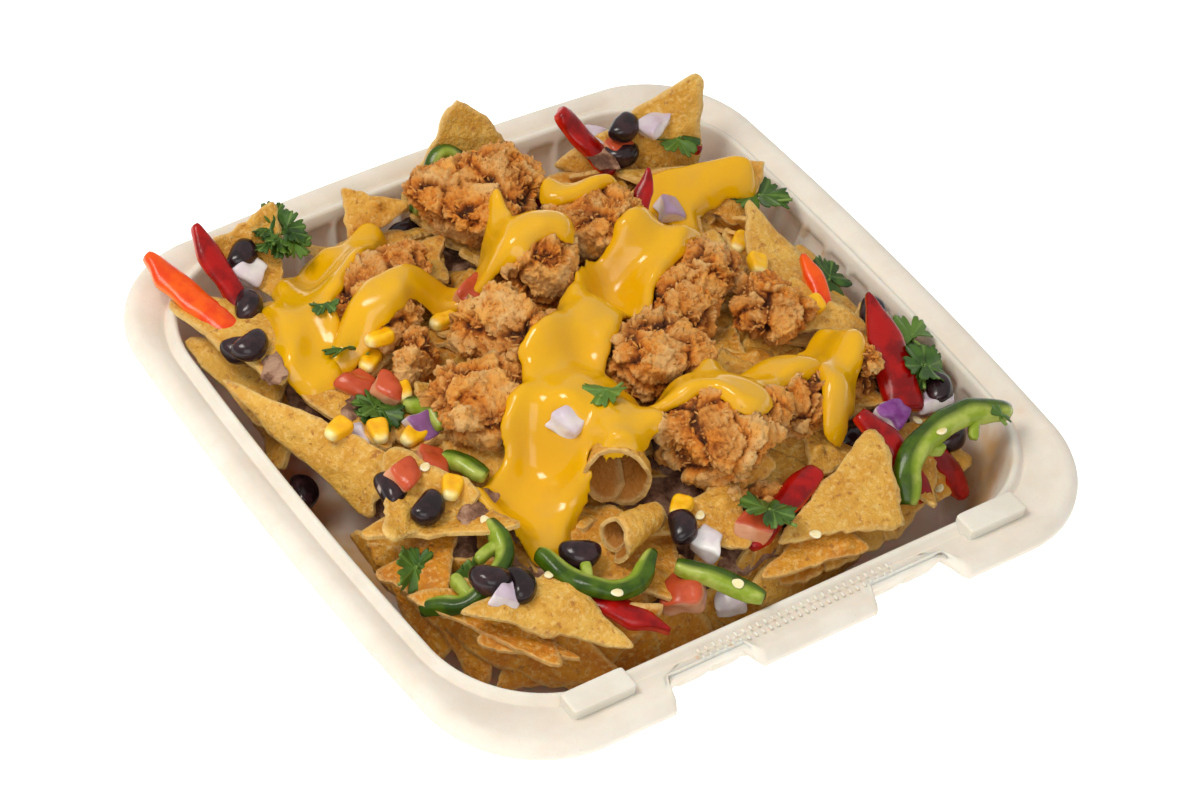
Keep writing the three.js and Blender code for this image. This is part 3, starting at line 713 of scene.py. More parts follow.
# Fresh coriander: soft thin leaf, dark on top with paler veins and stalks
CORIANDER_LEAF = Finish(
    name="coriander",
    roughness=0.45,
    ior=1.4,
    subsurface=0.05,
    subsurface_mm=0.5,
    coats=(
        Coat(("22400F", "3F611C"), Grain(5, 4)),
        Coat(("6E9232",), where="fresh"),
        Coat(("86A24A",), where="vein"),
    ),
    relief=(Grain(1.2, 4),),
)
# Mashed beans, salsa juice and chip crumbs between the pieces: dull, brown and uneven
BEAN_PASTE = Finish(
    name="bean paste",
    roughness=0.6,
    ior=1.4,
    coats=(
        Coat(("5E3C2A", "946A50", "BC9478"), Grain(6, 5, 0.65, 0.34, 0.66), stops=(0.0, 0.5, 1.0)),
    ),
    relief=(Grain(2.2, 5, 0.7),),
    relief_mm=1.5,
    relief_strength=0.9,
)
# Cuts of fresh vegetable, each with its own skin and flesh
ORANGE_PEPPER = CutVegetable("orange red pepper", skin=("EE5A08", "E0400A"), flesh=("EE7426", "F28E40"))
JALAPENO = CutVegetable("jalapeno", skin=("435E08", "2A4406"), flesh=("859A26", "A9B452"))
TOMATO = CutVegetable("tomato", 0.25, 1.38, 0.15, 1.5, skin=("C45430", "B44624"), flesh=("D28A60", "DEA480"))
ONION = CutVegetable("red onion", 0.25, 1.4, 0.15, 1.5, skin=("6A1E6C", "8A4A90"), flesh=("EAE4E0", "D8CCD0"))
# Kernels and seeds are small, so their blotches are drawn finer
CORN = CutVegetable(
    "sweetcorn", 0.28, 1.42, 0.15, skin=("F2BC14", "ECAA08"), flesh=("F0D468", "F4E2A0"), blotch_mm=3.0
)
SEED = CutVegetable(
    "pepper seed", 0.4, 1.4, 0.1, 0.5, skin=("EFE2B4", "E6D396"), flesh=("EFE2B4", "F6EED2"), blotch_mm=2.0
)


class Finishes:
    """Every material of the plateful, made once."""

    def __init__(self) -> None:
        """Makes the materials."""
        self.fibre = MouldedFibre().make()
        self.tortilla = FRIED_TORTILLA.make()
        self.chicken = SEASONED_CHICKEN.make()
        self.cheese = CheeseSauceFinish().make()
        self.red = CutVegetable("red pepper").make()
        self.orange = ORANGE_PEPPER.make()
        self.green = JALAPENO.make()
        self.tomato = TOMATO.make()
        self.onion = ONION.make()
        self.corn = CORN.make()
        self.seed = SEED.make()
        self.bean = BEAN_SKIN.make()
        self.leaf = CORIANDER_LEAF.make()
        self.paste = BEAN_PASTE.make()


@dataclass(frozen=True)
class Outline:
    """A rounded square with bowed sides, mm."""

    half_x: float
    front: float
    back: float
    radius: float
    bow: float
    least_radius: float = 12.0

    def ring(self, inset: float, side_steps: int, corner_steps: int) -> tuple[Array, ...]:
        """Points round the outline, drawn in by an inset.

        Args:
            inset: how far inside the outline the ring runs.
            side_steps: points along a side.
            corner_steps: points round a corner.

        Returns:
            Plan points, outward directions and the place along the side, or -1 in a corner.
        """
        x = self.half_x - inset
        low, high = self.front + inset, self.back - inset
        r = max(self.radius - inset, self.least_radius)
        corners = [(x - r, low + r), (x - r, high - r), (-x + r, high - r), (-x + r, low + r)]
        points, normals, along = [], [], []
        for side, (cx, cy) in enumerate(corners):
            start = (side - 1) * math.pi / 2
            for k in range(corner_steps):
                angle = start + (k + 0.5) / corner_steps * math.pi / 2
                normal = (math.cos(angle), math.sin(angle))
                points.append((cx + r * normal[0], cy + r * normal[1]))
                normals.append(normal)
                along.append(-1.0)
            outward = start + math.pi / 2
            nx, ny = math.cos(outward), math.sin(outward)
            ex, ey = corners[(side + 1) % 4]
            at_front = side == 3
            for k in range(side_steps):
                t = (k + 0.5) / side_steps
                bulge = r + (0.0 if at_front else 4 * t * (1 - t) * self.bow)
                points.append((cx + (ex - cx) * t + nx * bulge, cy + (ey - cy) * t + ny * bulge))
                normals.append((nx, ny))
                along.append(t)
        return np.array(points), np.array(normals), np.array(along)


@dataclass
class Tray:
    """The moulded-fibre tray: rolled rim, groove, fluted wall, flat floor and locking front edge."""

    finishes: Finishes
    outer: Outline = Outline(114.0, -115.2, 112.8, 37.6, 2.4)
    mouth: Outline = Outline(101.5, -97.5, 101.5, 36.0, 1.5)
    wall: float = 1.4
    rim: float = 38.6
    flutes: int = 11
    flute_depth: float = 2.2
    side_steps: int = 132
    corner_steps: int = 24
    notch: tuple[float, float] = (21.0, 50.0)
    notch_line: float = -105.5
    notch_land: float = 2.0
    tongue_line: float = -112.9
    block: tuple[float, float, float, float] = (60.0, 81.0, -105.5, -97.5)
    block_height: float = 2.8
    block_root: float = 3.0
    rib_size: Point = (1.2, 2.1, 1.1)
    rib_pitch: float = 2.6
    rib_count: int = 27
    rib_start: float = -36.0
    rib_level: float = 38.3
    rib_rows: tuple[float, float] = (-101.6, -104.4)

    def profile(self) -> list[tuple[Outline, float, float, float]]:
        """Rings from the outer edge to the floor.

        Returns:
            Outline, inset, height and share of the flute depth of each ring.
        """
        top = self.rim
        rolled = [(0.0, -4.4), (0.1, -2.6), (0.8, -1.1), (2.0, -0.1), (3.4, 0.3), (5.0, 0.1), (6.6, -0.5)]
        rings = [(self.outer, inset, top + rise, 0.0) for inset, rise in rolled]
        lip = [(-4.6, -1.3), (-3.9, -2.3), (-3.2, -2.3), (-2.3, -0.7), (-1.2, 0.0), (-0.4, -0.1), (0.2, -0.9)]
        rings += [(self.mouth, inset, top + rise, 0.0) for inset, rise in lip]
        band = [(0.7, 35.4, 0.0), (1.2, 33.8, 0.05), (1.5, 32.9, 0.6), (1.9, 31.6, 1.0), (2.9, 28.0, 1.0)]
        wall = [(4.8, 23.0, 1.0), (6.9, 18.0, 1.0), (9.0, 13.0, 1.0), (11.2, 7.8, 1.0), (12.2, 5.2, 0.8)]
        foot = [(13.2, 3.4, 0.4), (14.6, 2.0, 0.0), (16.4, self.wall, 0.0), (20.0, self.wall, 0.0)]
        rings += [(self.mouth, *row) for row in band + wall + foot]
        return rings

    def upper_surface(self) -> list[Array]:
        """The tray's upper face.

        Returns:
            Its rings of points, from the outer edge to the floor.
        """
        rings = []
        for outline, inset, z, share in self.profile():
            plan, normal, along = outline.ring(inset, self.side_steps, self.corner_steps)
            phase = np.abs((along * self.flutes) % 1.0 - 0.5)
            panel = np.where(along >= 0, smoothstep(phase, 0.42, 0.33), 0.0)
            plan = plan + normal * (panel * share * self.flute_depth)[:, None]
            if outline is self.outer or inset < 0.5:
                plan = self.front_edge(plan)
            rings.append(np.column_stack([plan, np.full(len(plan), z)]))
        return rings

    def front_edge(self, plan: Array) -> Array:
        """Cuts the two notches into the front rim.

        Args:
            plan: plan points of one rim ring.

        Returns:
            The changed points.
        """
        x, y = np.abs(plan[:, 0]), plan[:, 1]
        front, land = self.outer.front, self.notch_line + self.notch_land
        inside = smoothstep(x, self.notch[0] - 0.5, self.notch[0] + 1.5)
        inside = inside * smoothstep(x, self.notch[1] + 2.5, self.notch[1] - 1.0)
        line = front + (self.tongue_line - front) * (x < self.notch[0] + 1)
        line = line + (self.notch_line - line) * inside
        depth = np.clip((y - front) / (land - front), 0, 1)
        squeezed = line + (land - line) * depth
        at_front = (y < land) & (x < self.outer.half_x - self.outer.radius)
        moved = plan.copy()
        moved[at_front, 1] = squeezed[at_front]
        return moved

    def shell(self) -> Shape:
        """The closed tray wall: upper face, lower face and outer edge.

        Returns:
            The wall, with a value for its upper side.
        """
        rings = self.upper_surface()
        count = len(rings[0])
        upper = np.concatenate(rings + [np.array([[0.0, 0.0, self.wall]])])
        faces = bands(len(rings), count) + fan((len(rings) - 1) * count, count, len(upper) - 1)
        mesh = bpy.data.meshes.new("upper face")
        mesh.from_pydata(upper.tolist(), [], faces)
        normals = np.zeros(3 * len(upper), dtype=np.float32)
        mesh.vertices.foreach_get("normal", normals)
        normals = normals.reshape(-1, 3)
        if normals[-1, 2] < 0:
            normals = -normals
        bpy.data.meshes.remove(mesh)
        lower = upper - normals * (self.wall - 0.1)
        lower[:, 2] = np.maximum(lower[:, 2], 0.0)
        shift = len(upper)
        under = [tuple(i + shift for i in reversed(face)) for face in faces]
        edge = [(j, j + shift, (j + 1) % count + shift, (j + 1) % count) for j in range(count)]
        side = np.repeat([1.0, 0.0], shift)
        return Shape(np.concatenate([upper, lower]), faces + under + edge, {"upper": side})

    def locking_blocks(self) -> list[Shape]:
        """The two raised blocks that a lid's tabs lock behind.

        Returns:
            The left and the right block.
        """
        left, right, low, high = self.block
        size = (right - left, high - low, self.block_height + self.block_root)
        level = self.rim + (self.block_height - self.block_root) / 2
        block = rounded_block(size, 14.0, 24)
        spots = [(side * (left + right) / 2, (low + high) / 2, level) for side in (-1, 1)]
        return [Shape(block.points, block.faces).placed(spot) for spot in spots]

    def rib_tree(self) -> GeometryTree:
        """Rows of short ribs along the front rim.

        Returns:
            A tree that adds the ribs to the tray.
        """
        sizes = {"Pitch": self.rib_pitch, "Start": self.rib_start, "Height": self.rib_level}
        group = GeometryTree("rim ribs", {name: size * MM for name, size in sizes.items()})
        add, source = group.add, group.source
        rib = add("GeometryNodeMeshCube", {"Size": tuple(size * MM for size in self.rib_size)})
        soft = add("GeometryNodeSubdivisionSurface", {"Mesh": rib["Mesh"], "Level": 2})[0]
        smooth = add("GeometryNodeSetShadeSmooth", {"Geometry": soft})[0]
        merged = add("GeometryNodeJoinGeometry", {"Geometry": source["Geometry"]})
        step = add("ShaderNodeCombineXYZ", {"X": source["Pitch"]})[0]
        for row in self.rib_rows:
            start = add("ShaderNodeCombineXYZ", {"X": source["Start"], "Y": row * MM, "Z": source["Height"]})
            run = {"Count": self.rib_count, "Start Location": start[0], "Offset": step}
            line = add("GeometryNodeMeshLine", run, mode="OFFSET")["Mesh"]
            ribs = add("GeometryNodeInstanceOnPoints", {"Points": line, "Instance": smooth})
            group.tree.links.new(ribs["Instances"], merged[0].node.inputs["Geometry"])
        group.close(merged[0], self.finishes.fibre)
        return group

    def build(self) -> Any:
        """Makes the tray with its ribs and settles it.

        Returns:
            The tray, for the food to lie in.
        """
        piece = make_object("fibre_tray", joined([self.shell(), *self.locking_blocks()]), self.finishes.fibre)
        self.rib_tree().apply(piece, {"Pitch": self.rib_pitch * MM})
        return settle(piece, ["tray"])


@dataclass(frozen=True)
class Chip:
    """One tortilla chip: three corners in mm, how far it is rolled, in degrees, and how oily it is."""

    corners: tuple[Point, Point, Point]
    roll: float
    oil: float = 0.0


CHIPS = (
    Chip(((90, 79, 68), (40, 88, 38), (84, 62, 32)), 25),
    Chip(((13, 103, 70), (-14, 93, 36), (38, 84, 38)), 20),
    Chip(((98, 46, 53), (58, 67, 46), (80, 38, 34)), -45, 0.4),
    Chip(((80, 38, 50), (90, -17, 36), (62, 8, 46)), 40),
    Chip(((-30, 100, 50), (-10, 86, 47), (-34, 84, 39)), 25, 0.3),
    Chip(((-52, 102, 54), (-80, 99, 46), (-64, 74, 35)), -70, 0.2),
    Chip(((-101, 88, 44), (-88, 36, 46), (-58, 66, 44)), 30),
    Chip(((-99, 80, 34), (-94, 36, 30), (-70, 54, 38)), 50),
    Chip(((-101.5, 56, 42), (-75, -4, 48), (-87, -12, 30)), 60),
    Chip(((-84, 38, 40), (-58, 24, 44), (-74, 0, 42)), -30, 0.2),
    Chip(((-76, 2, 48), (-97, -30, 42), (-60, -30, 46)), -75),
    Chip(((-102, -20, 41), (-58, -48, 47), (-66, -18, 43)), -35, 0.3),
    Chip(((-99, -30, 35), (-88, -54, 34), (-70, -28, 40)), 40, 1.0),
    Chip(((-98, -42, 37), (-70, -88, 31), (-62, -56, 40)), -50, 1.0),
    Chip(((-92, -60, 43), (-56, -62, 46), (-51, -93, 39)), 30),
    Chip(((-12, -22, 60), (-56.5, -25, 61), (4.5, -63, 61)), 405, 0.2),
    Chip(((-20, -58, 50), (-33, -83, 54), (-42, -42, 54)), 390, 0.1),
    Chip(((-27, -60, 43), (9, -57, 48), (-2, -81, 42)), 25, 0.2),
    Chip(((4, -81, 41), (56, -61, 51), (46, -93, 40)), 35),
    Chip(((-4, -87, 37), (33, -94, 38), (28, -74, 40)), 30, 0.8),
    Chip(((4, -88, 31), (24, -91, 32), (12, -68, 36)), 30, 1.0),
    Chip(((-88, -66, 33), (-62, -86, 31), (-74, -58, 38)), -60, 0.8),
    Chip(((72, 4, 48), (86, -24, 44), (58, -14, 44)), 25),
    Chip(((74, -60, 37), (92, -70, 25), (68, -84, 27)), 30, 0.4),
    Chip(((93, 24, 37), (94, -14, 34), (68, 4, 42)), 35),
    Chip(((92, 62, 38), (56, 74, 44), (68, 42, 44)), 35),
    Chip(((60, -90, 34), (88, -56, 34), (52, -60, 42)), 30, 0.5),
    Chip(((8, -44, 50), (24, -58, 45), (-6, -66, 40)), -30, 0.5),
    Chip(((-54, -54, 40), (-14, -60, 38), (-32, -84, 39)), 20, 0.6),
    Chip(((95, -6, 36), (96, -48, 36), (72, -28, 42)), 20, 0.2),
    Chip(((94, -34, 37), (88, -63, 35), (70, -46, 39)), 25, 0.3),
    Chip(((17, -92, 32), (52, -88, 33), (34, -64, 41)), 25, 0.3),
    Chip(((42, -89, 30), (68, -80, 30), (54, -56, 41)), 20, 0.4),
)


@dataclass
class ChipHeap:
    """The heap of tortilla chips over a core of mashed, crumbled and unseen pieces."""

    finishes: Finishes
    half_x: float = 97.0
    half_y: float = 95.5
    middle_y: float = 2.5
    power: float = 4.0
    top: float = 48.0
    drop: float = 8.0
    sunk: float = 10.0
    base: float = 1.6
    empty_corner: tuple[float, float] = (104.0, -100.0)
    empty_reach: float = 46.0
    empty_depth: float = 26.0
    side_fall: float = 13.0
    around: int = 160
    thickness: float = 1.6
    cone_from: float = 300.0
    coil_rise: float = 0.36
    chip_steps: int = 22
    fillers: int = 130
    leaning: int = 52
    leaning_reach: float = 0.87
    seed: int = 11
    shown_seed: int = 40
    hidden_seed: int = 400
    open_spots: tuple[Point, ...] = ((-24, -46, 40), (-33, -66, 28))

    def reach(self, x: Array, y: Array) -> Array:
        """Distance from the heap's middle, 1 at its edge, on a rounded square."""
        across, along = np.abs(x / self.half_x), np.abs((y - self.middle_y) / self.half_y)
        return (across**self.power + along**self.power) ** (1 / self.power)

    def height(self, x: Array, y: Array) -> Array:
        """Height of the bare heap, lower at the right side and the emptier corner.

        Args:
            x: places in plan, mm.
            y: places in plan, mm.

        Returns:
            The heights, mm.
        """
        away = np.hypot(x - self.empty_corner[0], y - self.empty_corner[1]) / self.empty_reach
        hollow = self.empty_depth * (1 - smoothstep(away, 0.2, 1.0))
        fall = self.side_fall * smoothstep(y, -15, 15) * smoothstep(x, 72, 97)
        return self.top - self.drop * self.reach(x, y) ** 2 - np.maximum(hollow, fall)

    def core(self) -> Shape:
        """The core, lower and slimmer than the solid, so that the chips round it show.

        Returns:
            A closed, slightly uneven shape.
        """
        sides = [(0.66, self.base), (0.7, 8.0), (0.74, 16.0), (0.79, 24.0), (0.84, 30.0)]
        tops = [0.86, 0.83, 0.79, 0.74, 0.68, 0.6, 0.52, 0.43, 0.33, 0.22, 0.1]
        angles = (np.arange(self.around) + 0.5) / self.around * 2 * math.pi
        unit = 1 / self.reach(np.cos(angles), np.sin(angles) + self.middle_y)
        rings = []
        for share, level in [*sides, *[(share, None) for share in tops]]:
            x = share * unit * np.cos(angles)
            y = self.middle_y + share * unit * np.sin(angles)
            dome = self.height(x, y) - self.sunk
            rings.append(np.column_stack([x, y, dome if level is None else np.minimum(level, dome - 2)]))
        poles = [[0, self.middle_y, self.top - self.sunk], [0, self.middle_y, self.base]]
        points = np.concatenate([*rings, poles])
        points[:, 2] += Ripple(9, 3).at(points) * 1.2 * (points[:, 2] > 5)
        peak = len(points) - 2
        faces = bands(len(rings), self.around) + fan(peak - self.around, self.around, peak)
        return Shape(points, faces + fan(0, self.around, peak + 1))

    def leaning_chips(self) -> list[Chip]:
        """Seeded chips that lie like shingles on the heap's flank, open where the tray's floor shows.

        Returns:
            The chips.
        """
        rng = np.random.default_rng(self.seed + 1)
        found: list[Chip] = []
        for k in range(self.leaning):
            bearing = (k + rng.uniform(-0.4, 0.4)) / self.leaning * 2 * math.pi
            c, s = math.cos(bearing), math.sin(bearing)
            unit = self.leaning_reach / float(self.reach(np.array(c), np.array(s + self.middle_y)))
            steep = c < 0.5 and s < 0.2
            sizes, slopes = ((23, 30), (56, 76)) if steep else ((18, 26), (44, 68))
            size = rng.uniform(*sizes)
            slope = math.radians(rng.uniform(*slopes))
            spin = rng.uniform(0, 2 * math.pi)
            level = rng.uniform(20, 31)
            spots = []
            for corner in range(3):
                angle = spin + corner * 2 * math.pi / 3
                aside, down = size * math.cos(angle), size * math.sin(angle)
                z = float(np.clip(level - down * math.sin(slope), 4.0, 44.0))
                x = unit * c + down * math.cos(slope) * c - aside * s
                y = self.middle_y + unit * s + down * math.cos(slope) * s + aside * c
                share = float(self.reach(np.array(x), np.array(y)))
                shrink = min(1.0, (0.90 + 0.0032 * min(z, 28.0)) / share)
                spots.append((x * shrink, self.middle_y + (y - self.middle_y) * shrink, z))
            x, y = np.mean([spot[:2] for spot in spots], axis=0)
            bare_left = x < -60 and -26 < y < 42
            bare_corner = x > 50 and y < -45
            if bare_left or bare_corner:
                continue
            oil = 0.9 if x < -40 and y < -30 else float(rng.uniform(0.1, 0.7))
            found.append(Chip(tuple(spots), float(rng.uniform(15, 60)), oil))
        return found

    def filler_chips(self) -> list[Chip]:
        """Seeded chips that lie in the heap between the listed ones.

        Returns:
            The chips.
        """
        rng = np.random.default_rng(self.seed)
        found: list[Chip] = []
        while len(found) < self.fillers:
            x, y = rng.uniform(-92, 92, 2)
            size = rng.uniform(15, 24)
            heading = rng.uniform(0, 2 * math.pi)
            angles = heading + np.arange(3) * 2 * math.pi / 3
            px, py = x + size * np.cos(angles), y + size * np.sin(angles)
            in_view = y < -35 or x < -52
            if self.reach(px, py).max() > (0.84 if in_view else 1.0):
                continue
            crowded = any(math.hypot(x - cx, y - cy) < apart for cx, cy, apart in self.open_spots)
            heights = self.height(px, py) - (10.5 if crowded else 4.5) + rng.uniform(-5, 3, 3)
            corners = tuple(tuple(map(float, corner)) for corner in zip(px, py, heights))
            roll = float(rng.uniform(15, 50) * rng.choice([-1, 1]))
            found.append(Chip(corners, roll, float(rng.uniform(0, 0.7))))
        return found

    def grid(self) -> tuple[Array, Faces, list[int]]:
        """Splits a triangle into rows of small ones.

        Returns:
            Corner weights of the points, the small triangles, and the points round the rim.
        """
        n = self.chip_steps
        number = {}
        weights = []
        for i in range(n + 1):
            for j in range(i + 1):
                number[i, j] = len(weights)
                weights.append((1 - i / n, (i - j) / n, j / n))
        triangles: Faces = []
        for i in range(n):
            for j in range(i + 1):
                triangles.append((number[i, j], number[i + 1, j], number[i + 1, j + 1]))
                if j < i:
                    triangles.append((number[i, j], number[i + 1, j + 1], number[i, j + 1]))
        rim = [number[i, 0] for i in range(n)] + [number[n, j] for j in range(n)]
        rim += [number[i, i] for i in range(n, 0, -1)]
        return np.array(weights), triangles, rim

    def chip(self, chip: Chip, seed: int) -> Shape:
        """One chip: a rolled triangle with worn corners, uneven edges and blisters.

        Args:
            chip: its corners and roll.
            seed: fixes its unevenness.

        Returns:
            A closed plate with its values for oil, rim and painted shade inside a rolled chip.
        """
        weights, triangles, rim = self.grid()
        a, b, c = (np.array(p, dtype=float) for p in chip.corners)
        axis = (b + c) / 2 - a
        length = np.linalg.norm(axis)
        axis /= length
        normal = np.cross(b - a, c - a)
        normal *= math.copysign(1, normal[2]) / np.linalg.norm(normal)
        across = np.cross(normal, axis)
        flat = weights @ np.array([a, b, c])
        centre = (a + b + c) / 3
        sharp = np.clip((weights.max(axis=1) - 0.78) / 0.22, 0, 1) ** 2
        flat = flat + (centre - flat) * (0.12 * sharp)[:, None]
        inner = np.clip(weights.min(axis=1) * 9, 0, 1)
        wobble = (Ripple(13, seed).at(flat) * 0.7 + Ripple(4, seed + 4).at(flat) * 0.3) * (1 - inner)
        outward = (flat - centre) / np.linalg.norm(flat - centre + 1e-6, axis=1)[:, None]
        flat = flat + outward * wobble[:, None]
        side = (flat - a) @ across
        radius = np.linalg.norm(c - b) / math.radians(chip.roll)
        coiled = chip.roll > self.cone_from
        if coiled:
            radius = radius * np.clip((flat - a) @ axis / length, 0.45, 1.0)
        turn = side / radius
        wave = Ripple(24, seed + 1).at(flat) * 0.8
        blister = np.maximum(Ripple(6, seed + 2).at(flat) - 0.7, 0) * inner
        dent = np.maximum(Ripple(8, seed + 3).at(flat) - 0.8, 0) * 0.5 * inner
        half = self.thickness / 2 * (0.75 + 0.25 * inner)
        sheets = []
        for lift in (wave + half + blister, wave - half - dent):
            r = radius + lift + self.coil_rise * turn * coiled
            rolled = flat + across * (r * np.sin(turn) - side)[:, None]
            sheets.append(rolled + normal * (r * np.cos(turn) - radius)[:, None])
        count = len(flat)
        faces = triangles + [(p + count, r + count, q + count) for p, q, r in triangles]
        faces += [(p, p + count, q + count, q) for p, q in zip(rim, rim[1:] + rim[:1])]
        edge = np.tile((1 - np.clip(weights.min(axis=1) * 24, 0, 1)) * 0.7, 2)
        # Painted shade on the inner face of a coiled chip, for the shadow inside the roll
        browned = np.repeat([0.0, float(coiled)], count)
        values = {"oil": np.full(2 * count, chip.oil), "rim": edge, "browned": browned}
        return Shape(np.concatenate(sheets), faces, values)

    def plates(self, name: str, chips: Sequence[Chip], seed: int) -> Any:
        """Makes one piece of many chips, with the four-sided faces of their edges shaded flat.

        Args:
            name: the piece's name.
            chips: its chips.
            seed: fixes their unevenness.

        Returns:
            The settled piece.
        """
        shapes = [self.chip(chip, seed + 5 * i) for i, chip in enumerate(chips)]
        piece = make_object(name, joined(shapes), self.finishes.tortilla)
        sides = [len(face.vertices) for face in piece.data.polygons]
        piece.data.polygons.foreach_set("use_smooth", np.array(sides) != 4)
        return settle(piece, ["chip_heap"])

    def build(self) -> list[Any]:
        """Makes core and chips.

        Returns:
            The three objects, for the sauce to lie on.
        """
        core = make_object("heap_core", self.core(), self.finishes.paste)
        settle(core, ["chip_heap"])
        shown = self.plates("tortilla_chips", CHIPS, self.shown_seed)
        unseen = self.filler_chips() + self.leaning_chips()
        hidden = self.plates("chips_in_heap", unseen, self.hidden_seed)
        return [core, shown, hidden]


@dataclass
class ChickenPieces:
    """Torn, spice-rubbed pieces of chicken with crumbs on them."""

    finishes: Finishes
    count: int = 14
    voxel: float = 0.5
    relaxing: int = 6
    swirl: float = 7.0
    shard: float = 17.0
    chunk: float = 11.0
    flake: float = 4.6
    relief: tuple[float, float] = (-3.0, 1.8)
    shred: float = 0.4
    seed_step: float = 0.37
    sunk_seed: float = 9.0
    sunk_pieces: tuple[tuple[Point, Point, float], ...] = (
        ((-4, 9, 51), (12, 11, 10), 0.0),
        ((-22, -17, 49), (13, 12, 10), 15.0),
        ((34, 8, 48), (15, 12, 10), 50.0),
    )

    def torn_tree(self) -> GeometryTree:
        """Breaks up a smooth lump: torn flakes, drawn fibres, pits and loose shreds, storing the height that
        paints shade into the pits.

        Returns:
            A tree whose sizes are the depths of each kind of relief, in metres.
        """
        sizes = {"Lumps": 0.0036, "Shards": 0.0014, "Cracks": 0.0018, "Fibres": 0.0044, "Grit": 0.003}
        sizes |= {"Chunks": 0.5, "Flakes": 0.3}
        group = GeometryTree("torn chicken", {**sizes, "Shreds": 60000.0, "Seed": 0.0})
        add, tree, source = group.add, group.tree, group.source
        spot = add("GeometryNodeInputPosition")[0]
        spin = {"Vector": spot, "Axis": (0.3, 0.5, 0.8), "Angle": source["Seed"]}
        turned = add("ShaderNodeVectorRotate", spin)[0]
        shift = add("ShaderNodeCombineXYZ", {"X": source["Seed"], "Y": source["Seed"]})[0]
        place = add(VECTOR_MATH, {0: turned, 1: shift}, operation="ADD")[0]
        scale = 1 / (self.swirl * MM)
        bent = add("ShaderNodeTexNoise", {"Vector": place, "Scale": scale, "Detail": 3.0})["Color"]
        swirl = add(VECTOR_MATH, {0: bent, "Scale": self.swirl * MM}, operation="SCALE")[0]
        warped = add(VECTOR_MATH, {0: place, 1: swirl}, operation="ADD")[0]
        cells = {"Vector": warped, "Scale": 1 / (self.shard * MM)}
        tint = add("ShaderNodeTexVoronoi", cells)["Color"]
        brink = add("ShaderNodeTexVoronoi", cells, feature="DISTANCE_TO_EDGE")["Distance"]
        shard = add("ShaderNodeSeparateXYZ", {"Vector": tint})[0]
        angle = add(MATH, {0: shard, 1: 6.0}, operation="MULTIPLY")[0]
        lay = add("ShaderNodeVectorRotate", {"Vector": warped, "Axis": tint, "Angle": angle})[0]
        drawn = add(VECTOR_MATH, {0: lay, 1: (1.0, 0.16, 1.0)}, operation="MULTIPLY")[0]
        strand = add(MATH, {0: Grain(2.0).lay(tree, drawn)[0], 1: 0.5}, operation="SUBTRACT")[0]
        ridge = add(MATH, {0: strand}, operation="ABSOLUTE")[0]
        crest = add(MATH, {0: 0.0, 1: ridge}, operation="SUBTRACT")[0]
        gap = {"Value": brink, "From Min": 0.0, "From Max": 0.1}
        crack = add(SPAN, gap, interpolation_type="SMOOTHSTEP")["Result"]
        kinds = {
            "Lumps": (Grain(15, 2).lay(tree, place)[0], 0.5),
            "Chunks": (self.facets(group, warped, self.chunk), 0.0),
            "Flakes": (self.facets(group, warped, self.flake), 0.0),
            "Shards": (shard, 0.5),
            "Cracks": (crack, 0.9),
            "Fibres": (crest, -0.07),
            "Grit": (Grain(1.4, 3, 0.65).lay(tree, place)[0], 0.5),
        }
        total: Any = 0.0
        for kind, (value, middle) in kinds.items():
            level = add(MATH, {0: value, 1: middle}, operation="SUBTRACT")[0]
            total = add(MATH, {0: level, 1: source[kind], 2: total}, operation="MULTIPLY_ADD")[0]
        normal = add("GeometryNodeInputNormal")[0]
        offset = add(VECTOR_MATH, {0: normal, "Scale": total}, operation="SCALE")[0]
        # The stored height sets the colour: painted shade in the low parts, paler painted light on the crests
        low, high = (depth * MM for depth in self.relief)
        rise = {"Value": total, "From Min": low, "From Max": high}
        height = add(SPAN, rise, interpolation_type="SMOOTHSTEP")["Result"]
        mark = {"Geometry": source["Geometry"], "Name": "relief", "Value": height}
        marked = add("GeometryNodeStoreNamedAttribute", mark, data_type="FLOAT", domain="POINT")[0]
        torn = add("GeometryNodeSetPosition", {"Geometry": marked, "Offset": offset})[0]
        smooth = add("GeometryNodeSetShadeSmooth", {"Geometry": torn})[0]
        both = add("GeometryNodeJoinGeometry", {"Geometry": smooth})
        tree.links.new(self.shreds(group, torn), both[0].node.inputs[0])
        group.close(both[0], self.finishes.chicken)
        return group

    def facets(self, group: GeometryTree, place: Any, size_mm: float) -> Any:
        """Height of flat, tilted flakes, as torn meat breaks into.

        Args:
            group: the tree to add them to.
            place: coordinates in metres.
            size_mm: size of a flake.

        Returns:
            The height socket, in metres.
        """
        add = group.add
        cells = add("ShaderNodeTexVoronoi", {"Vector": place, "Scale": 1 / (size_mm * MM)})
        away = add(VECTOR_MATH, {0: place, 1: cells["Position"]}, operation="SUBTRACT")[0]
        lean = add(VECTOR_MATH, {0: cells["Color"], 1: (0.5, 0.5, 0.5)}, operation="SUBTRACT")[0]
        return add(VECTOR_MATH, {0: away, 1: lean}, operation="DOT_PRODUCT")["Value"]

